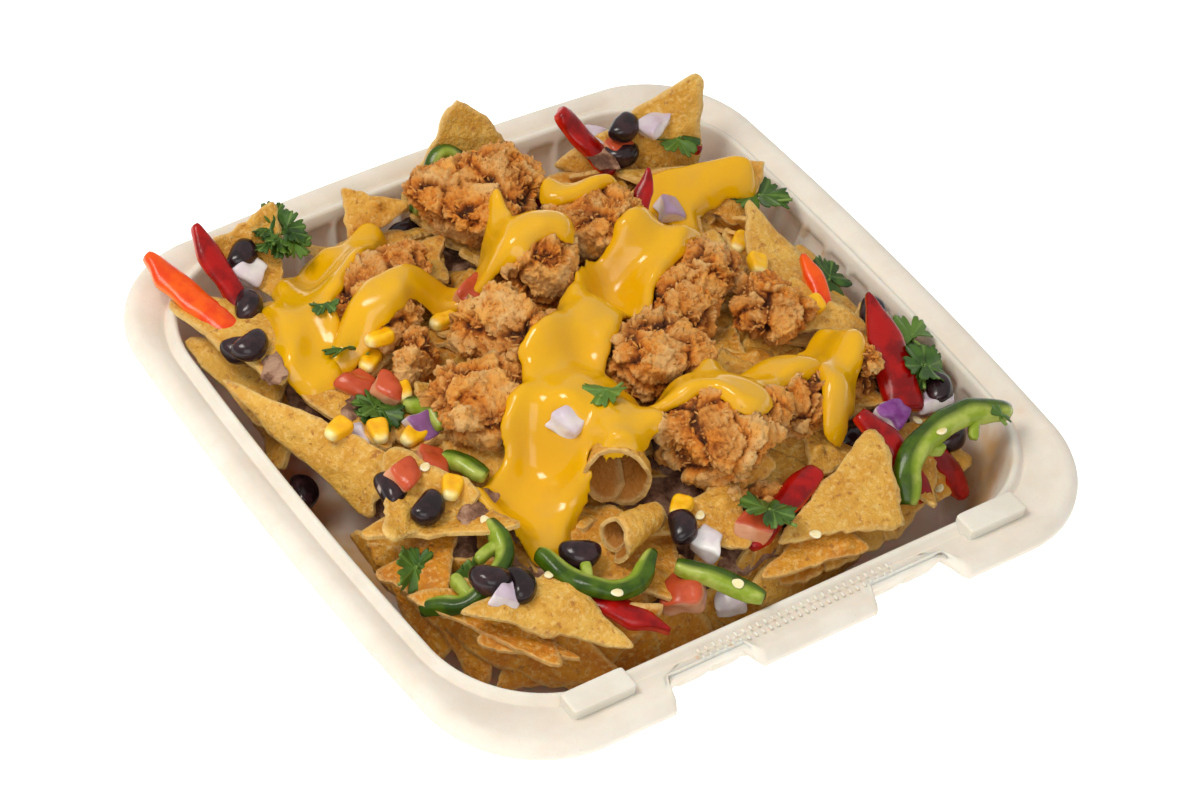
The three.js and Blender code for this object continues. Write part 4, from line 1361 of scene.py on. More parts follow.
    def shreds(self, group: GeometryTree, surface: Any) -> Any:
        """Short loose fibres that lie over a torn surface.

        Args:
            group: the tree to add them to.
            surface: socket of the torn surface.

        Returns:
            The socket of the fibres.
        """
        add = group.add
        draw = "FunctionNodeRandomValue"
        growth = {"Mesh": surface, "Density": group.source["Shreds"], "Seed": 7}
        spots = add("GeometryNodeDistributePointsOnFaces", growth)["Points"]
        shred = add("GeometryNodeMeshIcoSphere", {"Radius": self.shred * MM, "Subdivisions": 1})["Mesh"]
        turns, sizes = ((0, 0, 0), (6.28, 6.28, 6.28)), ((0.6, 0.6, 1.2), (1.4, 1.2, 4.5))
        spin = add(draw, {0: turns[0], 1: turns[1], "Seed": 3}, data_type="FLOAT_VECTOR")[0]
        size = add(draw, {0: sizes[0], 1: sizes[1], "Seed": 5}, data_type="FLOAT_VECTOR")[0]
        spread = {"Points": spots, "Instance": shred, "Rotation": spin, "Scale": size}
        laid = add("GeometryNodeInstanceOnPoints", spread)[0]
        real = add("GeometryNodeRealizeInstances", {"Geometry": laid})[0]
        shade = add(draw, {2: 0.45, 3: 1.0, "Seed": 9}, data_type="FLOAT")[1]
        mark = {"Geometry": real, "Name": "relief", "Value": shade}
        return add("GeometryNodeStoreNamedAttribute", mark, data_type="FLOAT", domain="POINT")[0]

    def lump(self, name: str, node: str, place: Matrix) -> Any:
        """Makes a fine, even lump, ready to be torn.

        Args:
            name: the piece's name.
            node: the solid that it copies, or nothing for a plain oval.
            place: where an oval lies and its half sizes.

        Returns:
            The object.
        """
        work = bmesh.new()
        if node:
            work.from_mesh(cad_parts[node].data)
            bmesh.ops.remove_doubles(work, verts=work.verts, dist=1e-6)
        else:
            bmesh.ops.create_icosphere(work, subdivisions=3, radius=MM)
            bmesh.ops.transform(work, matrix=place, verts=work.verts)
        mesh = bpy.data.meshes.new(name)
        work.to_mesh(mesh)
        work.free()
        piece = bpy.data.objects.new(name, mesh)
        SCENE.collection.objects.link(piece)
        return evened(piece, self.voxel, self.relaxing)

    def build(self) -> list[Any]:
        """Makes every piece of chicken.

        Returns:
            The pieces, for the sauce to lie on.
        """
        tree = self.torn_tree()
        pieces = []
        for number in range(1, self.count + 1):
            node = f"chicken_{number}"
            piece = self.lump(f"torn_{node}", node, Matrix())
            tree.apply(piece, {"Seed": self.seed_step * number})
            pieces.append(settle(piece, [node]))
        for number, (at, half, turn) in enumerate(self.sunk_pieces, start=1):
            place = Matrix.Translation(Vector(at) * MM) @ Matrix.Rotation(math.radians(turn), 4, "Z")
            piece = self.lump(f"sunk_chicken_{number}", "", place @ Matrix.Diagonal((*half, 1)))
            tree.apply(piece, {"Seed": self.sunk_seed + self.seed_step * number})
            pieces.append(settle(piece, ["chip_heap"]))
        return pieces


class StripKind(Enum):
    """The kinds of cut strip, by the material slot they take."""

    RED = "pepper_red"
    ORANGE = "pepper_orange"
    GREEN = "jalapeno"


RED, ORANGE, GREEN = StripKind


@dataclass(frozen=True)
class Strip:
    """A strip of pepper: points it runs through, width and thickness, mm."""

    node: str
    kind: StripKind
    through: tuple[Point, ...]
    width: float
    thick: float
    ribs: tuple[float, ...] = ()
    ends: tuple[float, float] = (0.65, 0.65)


STRIPS = (
    Strip("pepper_1", ORANGE, ((-98, 101, 50), (-93, 84, 46), (-87, 66, 42)), 9.5, 3.2, (), (0.4, 0.8)),
    Strip("pepper_2", RED, ((-83, 99, 57), (-81, 86, 49), (-79, 72, 41)), 7.5, 3.2, (), (0.35, 0.9)),
    Strip("pepper_3", RED, ((46, 92, 57), (51, 84, 49), (57, 75, 40)), 8, 3.4, (), (0.75, 0.8)),
    Strip("pepper_4", RED, ((75, 78, 47), (81, 74, 45), (87, 69, 42)), 6, 3.4),
    Strip("pepper_5", RED, ((16, 66, 51), (22, 61, 52), (28, 58, 50)), 7, 3.2),
    Strip("pepper_6", RED, ((50, 50, 64), (45, 45, 58), (38, 40, 50)), 6, 3, (), (0.2, 0.8)),
    Strip("pepper_7", ORANGE, ((79, 6, 51), (78, -4, 48), (75, -14, 43)), 6, 3.2, (), (0.3, 0.5)),
    Strip("pepper_8", RED, ((86, -18, 52), (81, -37, 47.5), (74, -56, 41)), 12, 3.4, (), (0.12, 0.9)),
    Strip("pepper_9", RED, ((55, -55, 48), (60, -68, 43), (62, -83, 33)), 8, 3.4),
    Strip("pepper_10", RED, ((-1, -77, 40), (14, -72, 44), (31, -66, 46)), 8.5, 3.2),
    Strip("pepper_11", RED, ((-53, -71, 41), (-46, -81, 40), (-38, -91, 37)), 8, 3.2, (), (0.8, 0.12)),
    Strip("pepper_12", RED, ((74, -67, 36), (79, -74, 30), (82, -80, 22)), 9, 3.4),
    Strip("jalapeno_1", GREEN, ((-10, 88, 40), (4, 94.5, 54.5), (16, 84, 42)), 5, 4),
    Strip(
        "jalapeno_2", GREEN, ((-94, -48, 35), (-82, -56, 41), (-68, -50, 45), (-65, -38, 47)),
        5.5, 4.4, (0.3, 0.8),
    ),
    Strip(
        "jalapeno_3", GREEN, ((-60, -54, 46), (-54, -70, 45), (-42, -77, 45), (-31, -70, 46)),
        5.5, 4.4, (0.35,),
    ),
    Strip("jalapeno_4", GREEN, ((-26, -75, 43), (-17, -87, 43), (-10, -97, 42)), 6, 4.2),
    Strip(
        "jalapeno_5", GREEN, ((53, -85, 37), (60, -75, 46), (80, -71, 50), (97, -75, 47)),
        8, 5, (0.42, 0.82),
    ),
    Strip("jalapeno_6", GREEN, ((-62, -9, 45), (-59, -15, 47), (-56, -22, 46)), 6, 3.4),
    Strip("jalapeno_7", GREEN, ((-60, 15, 45), (-56, 8, 48), (-57, 0, 46)), 5, 3.6),
)


@dataclass
class CutStrips:
    """Strips of red and orange pepper and arcs of green chilli."""

    finishes: Finishes
    steps: int = 40
    around: int = 28
    roundness: float = 0.45
    rib_reach: float = 9.0
    rib_size: tuple[float, float] = (3.4, 3.6)
    strip_seed: int = 700
    rib_seed: int = 800

    def shape(self, strip: Strip, seed: int) -> Shape:
        """Sweeps a strip's rounded section along its curve.

        Args:
            strip: the strip.
            seed: fixes its unevenness.

        Returns:
            A closed shape with a value for the skin.
        """
        spine = smooth_curve(strip.through, self.steps)
        tangent = np.gradient(spine, axis=0)
        tangent /= np.linalg.norm(tangent, axis=1)[:, None]
        side = np.cross(tangent, [0, 0, 1])
        side /= np.linalg.norm(side, axis=1)[:, None]
        normal = np.cross(side, tangent)
        bend = np.cross(tangent[0], tangent[-1])[2]
        outer = 1.0 if bend > 0 else -1.0
        angles = np.arange(self.around) / self.around * 2 * math.pi
        u, v = (np.sign(a) * np.abs(a) ** self.roundness / 2 for a in (np.cos(angles), np.sin(angles)))
        t = np.linspace(0, 1, self.steps + 1)
        tip = np.clip(np.minimum(t, 1 - t) * 24, 0, 1)
        taper = np.minimum(np.minimum(strip.ends[0] + 2.2 * t, strip.ends[1] + 2.2 * (1 - t)), 1.0)
        taper = taper * (0.86 + 0.14 * np.sqrt(tip))
        arch = 0.16 * strip.width * (1 - (2 * u) ** 2)
        rows = []
        for k in range(self.steps + 1):
            across = u * strip.width * taper[k]
            lift = v * strip.thick * (0.8 + 0.2 * np.sqrt(tip[k])) + (arch - 0.08 * strip.width) * taper[k]
            rows.append(spine[k] + side[k] * across[:, None] + normal[k] * lift[:, None])
        green = strip.kind is StripKind.GREEN
        skin = smoothstep(outer * u, -0.3, 0.05) if green else smoothstep(v, 0.05, 0.35)
        points = shaken(np.concatenate([*rows, spine[:1], spine[-1:]]), 11, seed, 0.22)
        end = len(points) - 2
        faces = bands(len(rows), self.around) + fan(0, self.around, end)
        faces += fan(end - self.around, self.around, end + 1)
        return Shape(points, faces, {"skin": np.concatenate([np.tile(skin, len(rows)), [0.2, 0.2]])})

    def rib(self, strip: Strip, share: float, seed: int) -> Shape:
        """A pale rib on the hollow side of an arc of chilli.

        Args:
            strip: the arc.
            share: how far along it the rib stands.
            seed: fixes its unevenness.

        Returns:
            A short closed strip of flesh.
        """
        spine = smooth_curve(strip.through, self.steps)
        chord = (spine[0] + spine[-1]) / 2
        root = spine[int(share * self.steps)]
        inward = chord - root
        inward *= self.rib_reach / np.linalg.norm(inward)
        along = np.cross(inward, [0, 0, 1.0]) * 0.25
        through = (root + inward * 0.1, root + inward * 0.6 - along * 0.4, root + inward - along)
        short = Strip(strip.node, strip.kind, tuple(tuple(p) for p in through), *self.rib_size)
        made = self.shape(short, seed)
        return replace(made, values={"skin": np.zeros(len(made.points))})

    def build(self) -> list[Any]:
        """Makes every strip.

        Returns:
            The strips.
        """
        looks = {RED: self.finishes.red, ORANGE: self.finishes.orange, GREEN: self.finishes.green}
        pieces = []
        for number, strip in enumerate(STRIPS):
            parts = [self.shape(strip, self.strip_seed + 7 * number)]
            parts += [self.rib(strip, share, self.rib_seed + 7 * number) for share in strip.ribs]
            piece = make_object(f"cut_{strip.node}", joined(parts), looks[strip.kind])
            pieces.append(settle(piece, [strip.node]))
        return pieces


@dataclass(frozen=True)
class Bit:
    """A small piece: centre in mm, size, turn and tilt in degrees, and the solid it stands for."""

    at: Point
    size: Point = (10.0, 8.0, 6.0)
    turn: float = 0.0
    tilt: float = 0.0
    node: str = "chip_heap"
    skin: float = 1.0
    sunk: float = 0.0


TOMATOES = (
    Bit((-67, 30, 43), (10, 9, 8), 20, 15, "tomato_1"),
    Bit((-67, -11, 44), (17, 9, 8), 65, 12, "tomato_2"),
    Bit((-25, -80, 37), (14, 11, 8), 40, -20, "tomato_3"),
    Bit((-20, 40, 51), (13, 8, 8), 30, 20, "tomato_4"),
)
ONIONS = (
    Bit((-70, 86, 44), (10, 8, 6), 30, 30, "onion_1", 0.0),
    Bit((-78, 15, 41), (10, 8, 5), 60, -20, "onion_2", 0.25),
    Bit((57, 86, 46), (10, 7, 4.5), -30, 20, "onion_3", 0.25),
    Bit((-12, -72, 43), (9, 8, 6), 35, 10, "onion_4", 0.0),
    Bit((67, -58, 45), (9, 8, 6), 15, 25, "onion_5"),
)
BEANS = (
    Bit((-79, 73, 44), turn=60, node="bean_1"),
    Bit((-90, 58, 44), turn=-20, node="bean_2"),
    Bit((-88, 23, 14), turn=70, node="bean_3"),
    Bit((-83, -13, 46), turn=80, node="bean_4"),
    Bit((-49, -60, 46), turn=-30, node="bean_5"),
    Bit((-71, -62, 46), turn=75, node="bean_6"),
)
LOOSE_ONIONS = (
    Bit((-60, 4, 46), (9, 8, 5), 15, 40, skin=0.9),
    Bit((74, 78, 43), (12, 7, 4.5), 20, -15, skin=0.3),
    Bit((-7, -80, 38), (9, 8, 5), 60, -10, skin=0.0),
    Bit((84.5, -58, 42), (9, 7, 5), -30, -20, skin=0.3),
    Bit((-30.6, -25.3, 60), (8, 8, 6), 20, 15, skin=0.2, sunk=3.6),
    Bit((54, 42, 53), (9, 7, 5), 70, 25, skin=0.6),
    Bit((-80, -68, 30), (9, 7, 5), 45, 20, skin=0.3),
)
LOOSE_TOMATOES = (
    Bit((0, -79, 37), (10, 9, 6), 30, 10),
    Bit((-60, 24, 44), (9, 8, 6), 50, 15),
    Bit((62, 80, 43), (9, 8, 6), 10, 20),
    Bit((-74, -8, 43), (9, 8, 6), 20, 25),
)
LOOSE_BEANS = tuple(Bit(spot, turn=turn) for spot, turn in (
    ((-78, -25, 47), 30), ((50, -59, 47), -10), ((-85, 59, 42), 15), ((-75, 93, 44), 40),
    ((-10, 91, 45), 10), ((63, 80, 48), 30), ((60, 76, 46), -20), ((-77, -56, 40), -40),
    ((84.8, -65.6, 33), 20), ((91, -17, 41), 50), ((-16, -64, 44), 65), ((89.5, -51.5, 39), 70),
))
KERNELS = tuple(Bit(spot, turn=turn) for spot, turn in (
    ((-52, 41, 45), 0), ((-73, 9, 45), 70), ((-67, -21, 46), 50), ((67, 12, 48), 60),
    ((-14, -60, 47), 35), ((-59, 36, 44), 40), ((-65, 3, 45), 20), ((-33, 37, 48), 10),
    ((69, 23, 49), 30), ((71, -10, 47), 0), ((-58, 20, 45), 80), ((-79.5, 19, 4.4), 15),
))
SEEDS = tuple(Bit(spot, turn=turn) for spot, turn in (
    ((-71.8, -13.4, 50), 30), ((-67, -37.7, 48), 80), ((70, -75.5, 48), 10), ((-15.6, -93.6, 44), 120),
    ((67, -83.6, 44), 60), ((-47, -76, 44), 150), ((-60.9, -62.2, 46), 20), ((72.4, -63.6, 48), 100),
    ((-9.9, -64.4, 46), 45), ((-62, -2, 48), 70), ((-74, -44, 44), 15), ((18, -84, 42), 140),
))
MASHED = (
    Bit((-65, -32, 46), (16, 10, 2.2), 35, 10),
    Bit((-84, 48, 42), (14, 8, 2), 60, -15),
    Bit((86, -44, 42), (12, 8, 2), -20, 10),
    Bit((90, -44, 40), (10, 8, 3), 30, -20),
    Bit((56, 80, 43), (14, 9, 2), 80, 0),
    Bit((20, 96, 43), (12, 8, 2), 0, 15),
    Bit((-72, 22, 43), (12, 8, 2), 40, 10),
)


@dataclass
class SmallPieces:
    """Diced tomato and onion, beans, sweetcorn, chilli seeds and mashed beans."""

    finishes: Finishes
    ground: Ground
    bean: Point = (12.5, 8.4, 7.6)
    kernel: Point = (9.0, 7.5, 5.5)
    seed: Point = (3.6, 2.8, 1.1)
    tomato_edges: float = 7.0
    onion_edges: float = 9.0
    onion_lift: float = 1.6
    tomato_lift: float = 1.8
    bean_lift: float = 2.8
    kernel_lift: float = 1.9
    seed_lift: float = 0.5
    mash_lift: float = 0.1

    def dice(self, bit: Bit, seed: int, squareness: float) -> Shape:
        """A block cut from a curved layer, bent along its length.

        Args:
            bit: its place and size.
            seed: fixes its unevenness.
            squareness: how sharp its edges are.

        Returns:
            A closed shape with a value for the skin.
        """
        shape = rounded_block(bit.size, squareness)
        points = shape.points.copy()
        slant, lean, narrow = np.random.default_rng(seed).uniform(-0.3, 0.3, 3)
        sag = 2 * points[:, 0] / bit.size[0]
        points[:, 2] -= 0.2 * bit.size[2] * sag**2
        points[:, 1] *= 1 - (0.12 + 0.5 * abs(narrow)) * sag
        points[:, 0] += slant * points[:, 1] + lean * points[:, 2]
        skin = shape.values["skin"] * bit.skin
        made = Shape(shaken(points, 7, seed, 0.3), shape.faces, {"skin": skin})
        return made.placed(bit.at, bit.turn, bit.tilt)

    def bean_shape(self, bit: Bit, seed: int) -> Shape:
        """A kidney-shaped bean with its scar on the hollow side.

        Args:
            bit: its place.
            seed: fixes its tilt and unevenness.

        Returns:
            A closed shape with a value for the scar.
        """
        shape = rounded_block(self.bean, 2.3)
        points = shape.points.copy()
        bow = (2 * points[:, 0] / self.bean[0]) ** 2
        points[:, 1] += 1.5 * bow - 0.6
        points += Ripple(6, seed).at(points)[:, None] * 0.08
        near = np.hypot(points[:, 0] / 1.6, points[:, 2] / 0.9)
        scar = (1 - smoothstep(near, 0.7, 1.0)) * (points[:, 1] > 0)
        return Shape(points, shape.faces, {"scar": scar}).placed(bit.at, bit.turn, (seed * 47) % 50 - 25)

    def kernel_shape(self, bit: Bit, seed: int) -> Shape:
        """A wedge-shaped kernel with a dimple and a pale root.

        Args:
            bit: its place.
            seed: fixes its tilt.

        Returns:
            A closed shape with a value for the skin.
        """
        shape = rounded_block(self.kernel, 3.2)
        points = shape.points.copy()
        along = points[:, 0] / self.kernel[0] + 0.5
        points[:, 1] *= 0.62 + 0.38 * along
        points[:, 2] *= 0.7 + 0.3 * along
        dimple = np.exp(-((points[:, 0] - 1.5) ** 2 + points[:, 1] ** 2) / 4)
        points[:, 2] -= 0.8 * dimple * (points[:, 2] > 0)
        skin = smoothstep(along, 0.04, 0.26)
        return Shape(points, shape.faces, {"skin": skin}).placed(bit.at, bit.turn, (seed * 53) % 40 - 20)

    def seed_shape(self, bit: Bit) -> Shape:
        """A flat pale seed with a point at one end.

        Args:
            bit: its place.

        Returns:
            A closed shape with a value for the skin.
        """
        shape = rounded_block(self.seed, 2.4)
        points = shape.points.copy()
        points[:, 1] *= 1 - 0.35 * np.clip(2 * points[:, 0] / self.seed[0], 0, 1)
        return Shape(points, shape.faces, shape.values).placed(bit.at, bit.turn, (bit.turn * 7) % 60 - 30)

    def mash_shape(self, bit: Bit, seed: int) -> Shape:
        """A smear of mashed beans with an uneven outline.

        Args:
            bit: its place and size.
            seed: fixes its outline.

        Returns:
            A closed shape.
        """
        shape = rounded_block(bit.size, 2.2)
        ripple = Ripple(5, seed).at(shape.points) * 0.14 + Ripple(2.4, seed + 1).at(shape.points) * 0.05
        return Shape(shape.points * (1 + ripple)[:, None], shape.faces).placed(bit.at, bit.turn, bit.tilt)

    def laid(self, bits: Sequence[Bit], lift: float) -> Iterable[tuple[int, Bit]]:
        """The loose bits, numbered, each lowered or raised onto what lies under it."""
        return enumerate([replace(bit, at=self.ground.rest(bit.at, lift - bit.sunk)) for bit in bits])

    def build(self) -> list[Any]:
        """Makes the small pieces: one object for each solid, and one for each kind of loose bit.

        Returns:
            The objects.
        """
        made: list[Any] = []
        looks = self.finishes
        for kind, bits, look, edges in (
            ("tomato", TOMATOES, looks.tomato, self.tomato_edges),
            ("onion", ONIONS, looks.onion, self.onion_edges),
        ):
            for number, bit in enumerate(bits):
                piece = make_object(f"diced_{bit.node}", self.dice(bit, 900 + 9 * number, edges), look)
                made.append(settle(piece, [bit.node]))
        for number, bit in enumerate(BEANS):
            piece = make_object(f"black_{bit.node}", self.bean_shape(bit, number), looks.bean)
            made.append(settle(piece, [bit.node]))
        onions = self.laid(LOOSE_ONIONS, self.onion_lift)
        tomatoes = self.laid(LOOSE_TOMATOES, self.tomato_lift)
        beans = self.laid(LOOSE_BEANS, self.bean_lift)
        kernels = self.laid(KERNELS, self.kernel_lift)
        seeds = self.laid(SEEDS, self.seed_lift)
        mash = self.laid(MASHED, self.mash_lift)
        diced_onion = [self.dice(bit, 990 + 9 * i, self.onion_edges) for i, bit in onions]
        diced_tomato = [self.dice(bit, 960 + 9 * i, self.tomato_edges) for i, bit in tomatoes]
        for name, shapes, look, slot in (
            ("loose_onion", diced_onion, looks.onion, "onion"),
            ("loose_tomato", diced_tomato, looks.tomato, "tomato"),
            ("loose_beans", [self.bean_shape(bit, 20 + i) for i, bit in beans], looks.bean, "bean"),
            ("sweetcorn", [self.kernel_shape(bit, i) for i, bit in kernels], looks.corn, "tortilla"),
            ("chilli_seeds", [self.seed_shape(bit) for _, bit in seeds], looks.seed, "tortilla"),
            ("mashed_beans", [self.mash_shape(bit, 870 + 3 * i) for i, bit in mash], looks.paste, "bean"),
        ):
            made.append(settle(make_object(name, joined(shapes), look), ["chip_heap"]))
        return made


@dataclass(frozen=True)
class Sprig:
    """A sprig of coriander: centre, leaf radius, turn and tilt."""

    at: Point
    radius: float
    turn: float
    tilt: float
    node: str = "chip_heap"
    leaves: int = 3


SPRIGS = (
    Sprig((-57, 92, 48), 8.5, 20, 15, "leaf_1", 12),
    Sprig((89, 41, 44), 9, 150, 35, "leaf_2", 2),
    Sprig((94, -27, 43), 11, 100, 30, "leaf_3", 1),
    Sprig((88, -46, 45), 8, 60, 20, "leaf_4", 3),
)
LOOSE_SPRIGS = (
    Sprig((-61, 59, 47), 5, 200, 20, leaves=1),
    Sprig((-67, 44, 46), 9, 150, 15, leaves=1),
    Sprig((-69, 16, 46), 8, 60, 20, leaves=4),
    Sprig((-20.2, -24.8, 64), 8, 200, 10, leaves=1),
    Sprig((92, -1, 42), 8, 30, 20, leaves=2),
    Sprig((9, -72, 46), 8, 120, 20, leaves=2),
    Sprig((95, -73, 47), 5, 80, 30, leaves=1),
    Sprig((-88, -36, 38), 7, 30, 20, leaves=2),
    Sprig((80, 72, 44), 7, 210, 20, leaves=2),
    Sprig((-76, -50, 44), 8, 20, 10, leaves=4),
    Sprig((92, -40, 42), 8, 250, 20, leaves=2),
)


@dataclass
class Coriander:
    """Sprigs of coriander: three-lobed toothed leaves on thin stalks."""

    finishes: Finishes
    ground: Ground
    thickness: float = 0.45
    rings: int = 9
    around: int = 120
    stalk_sides: int = 6
    stalk_radius: float = 0.55
    lift: float = 1.4
    tuft_from: int = 6
    veins: Point = (0.0, 1.12, -1.12)
    # Bearing, width and depth of the cuts between the lobes and teeth
    cuts: tuple[Point, ...] = ((0.6, 0.1, 0.5), (0.22, 0.05, 0.14), (0.98, 0.05, 0.16), (1.4, 0.06, 0.22))

    def leaf(self, radius: float, seed: int) -> Shape:
        """One leaf: a fan of three toothed lobes from its stalk, wavy, with pale veins.

        Args:
            radius: length of the longest lobe, mm.
            seed: fixes its waves and its tint.

        Returns:
            A closed thin shape with values for veins and freshness.
        """
        rng = np.random.default_rng(seed)
        angles = (np.arange(self.around) / self.around - 0.5) * 2 * math.pi
        aside = np.abs(angles)
        reach = 0.16 + 0.84 * (1 - smoothstep(aside, 1.7, 2.3))
        for bearing, width, depth in self.cuts:
            reach = reach * (1 - depth * np.exp(-(((aside - bearing) / width) ** 2)))
        reach = radius * reach * (1 - 0.06 * np.abs(np.sin(17 * angles)))
        phase = rng.uniform(0, 6.28, 3)
        rows = []
        for k in range(1, self.rings + 1):
            r = reach * k / self.rings
            curl = 0.22 * radius * (r / radius) ** 2 * np.sin(2 * angles + phase[0])
            ruffle = 0.11 * radius * (r / radius) * np.sin(5 * angles + phase[1])
            rows.append(np.column_stack([r * np.cos(angles), r * np.sin(angles), curl + ruffle]))
        face = np.concatenate([[[0, 0, 0]], *rows])
        near_vein = np.min(np.abs(angles[:, None] - np.array([self.veins])), axis=1)
        vein = np.concatenate([[0.6], np.tile((1 - smoothstep(near_vein, 0.02, 0.1)) * 0.4, self.rings)])
        strips = bands(self.rings, self.around, 1)
        upper = fan(1, self.around, 0) + [(corners[0], *corners[:0:-1]) for corners in strips]
        count = len(face)
        points = np.concatenate([face, face - np.array([0, 0, self.thickness])])
        under = [tuple(i + count for i in reversed(corners)) for corners in upper]
        rim = range(count - self.around, count)
        edge = [(p, p + count, q + count, q) for p, q in zip(rim, [*rim[1:], rim[0]])]
        fresh = np.full(len(points), rng.uniform(0, 0.7) ** 2)
        return Shape(points, upper + under + edge, {"vein": np.tile(vein, 2), "fresh": fresh})

    def stalk(self, start: Point, end: Point) -> Shape:
        """A thin bent stalk.

        Args:
            start: its one end, mm.
            end: its other end, mm.

        Returns:
            A closed shape with a value for veins.
        """
        middle = tuple((s + e) / 2 + d for s, e, d in zip(start, end, (0.8, -0.6, -1.2)))
        spine = smooth_curve([start, middle, end], 8)
        sides = self.stalk_sides
        angles = np.arange(sides) / sides * 2 * math.pi
        section = np.column_stack([np.zeros(sides), np.cos(angles), np.sin(angles)]) * self.stalk_radius
        points = np.concatenate([centre + section for centre in spine])
        faces = bands(len(spine), sides)
        faces += [tuple(range(sides))[::-1], tuple(range(len(points) - sides, len(points)))]
        return Shape(points, faces, {"vein": np.full(len(points), 0.7)})

    def sprig(self, sprig: Sprig, seed: int) -> Shape:
        """A sprig: a few leaves on short stalks that meet, or a dense tuft of small ones.

        Args:
            sprig: its place, size and number of leaves.
            seed: fixes how its leaves lie.

        Returns:
            The leaves and their stalk.
        """
        rng = np.random.default_rng(seed)
        r = sprig.radius
        tuft = sprig.leaves >= self.tuft_from
        parts = []
        for k in range(sprig.leaves):
            heading = k * 360 / sprig.leaves + rng.uniform(-20, 20)
            size = r * (rng.uniform(0.5, 0.75) if tuft else rng.uniform(0.8, 1.1))
            out = r * (rng.uniform(0.1, 0.7) if tuft else 0.15 if sprig.leaves > 1 else -0.5)
            spot = (out * math.cos(math.radians(heading)), out * math.sin(math.radians(heading)), 0.3 * k)
            lean = float(rng.uniform(-60, 60) if tuft else rng.uniform(-25, 25))
            parts.append(self.leaf(size, seed + k).placed(spot, heading, lean))
        parts.append(self.stalk((-1.2 * r, 0.15 * r, -0.8), (0, 0, 0.2)))
        return joined(parts).placed(sprig.at, sprig.turn, sprig.tilt)

    def build(self) -> None:
        """Makes the sprigs."""
        for number, sprig in enumerate(SPRIGS):
            piece = make_object(f"sprig_{sprig.node}", self.sprig(sprig, 30 * number), self.finishes.leaf)
            settle(piece, [sprig.node])
        laid = [replace(sprig, at=self.ground.rest(sprig.at, self.lift)) for sprig in LOOSE_SPRIGS]
        loose = joined(self.sprig(sprig, 500 + 30 * i) for i, sprig in enumerate(laid))
        piece = make_object("loose_sprigs", loose, self.finishes.leaf)
        settle(piece, ["chip_heap"])


# Middle lines of the sauce: place in plan and half width, mm
STREAMS: dict[str, tuple[tuple[Point, ...], ...]] = {
    "sauce_left": (
        ((-29, 83, 5), (-38, 78, 7), (-52, 74, 10), (-64, 66, 11), (-71, 54, 10), (-75, 41, 9)),
    ),
    "sauce_middle": (
        ((-66, 39, 5), (-53, 45, 7), (-38, 47, 6), (-22, 44, 6), (-6, 41, 7), (7, 39, 6)),
        ((-10, 45, 5), (-2, 55, 3), (0, 60, 2.6)),
    ),
    "sauce_back": (
        ((21, 57, 5), (37, 57, 6), (54, 55, 7), (70, 52, 7), (85, 48, 6)),
        ((62, 52, 6), (60, 41, 5)),
    ),
    "sauce_main": (
        (
            (54, 30, 6), (37, 28, 9), (20, 20, 10), (0, 9, 9),
            (-15, -2, 10), (-29, -15, 12), (-40, -28, 12.5), (-51, -40, 10.5),
        ),
        ((-18, -14, 10), (-14, -27, 10), (-20, -36, 9)),
        ((-47, -27, 8), (-57, -30, 6)),
    ),
    "sauce_right": (
        ((-4, -31, 6), (9, -34, 7), (23, -34, 8), (38, -33, 8), (51, -34, 6)),
        ((13, -36, 6), (18, -47, 6)),
    ),
    "sauce_drip": (((68, -27, 7), (62, -33, 8), (55, -44, 6), (46, -55, 3.6)),),
}


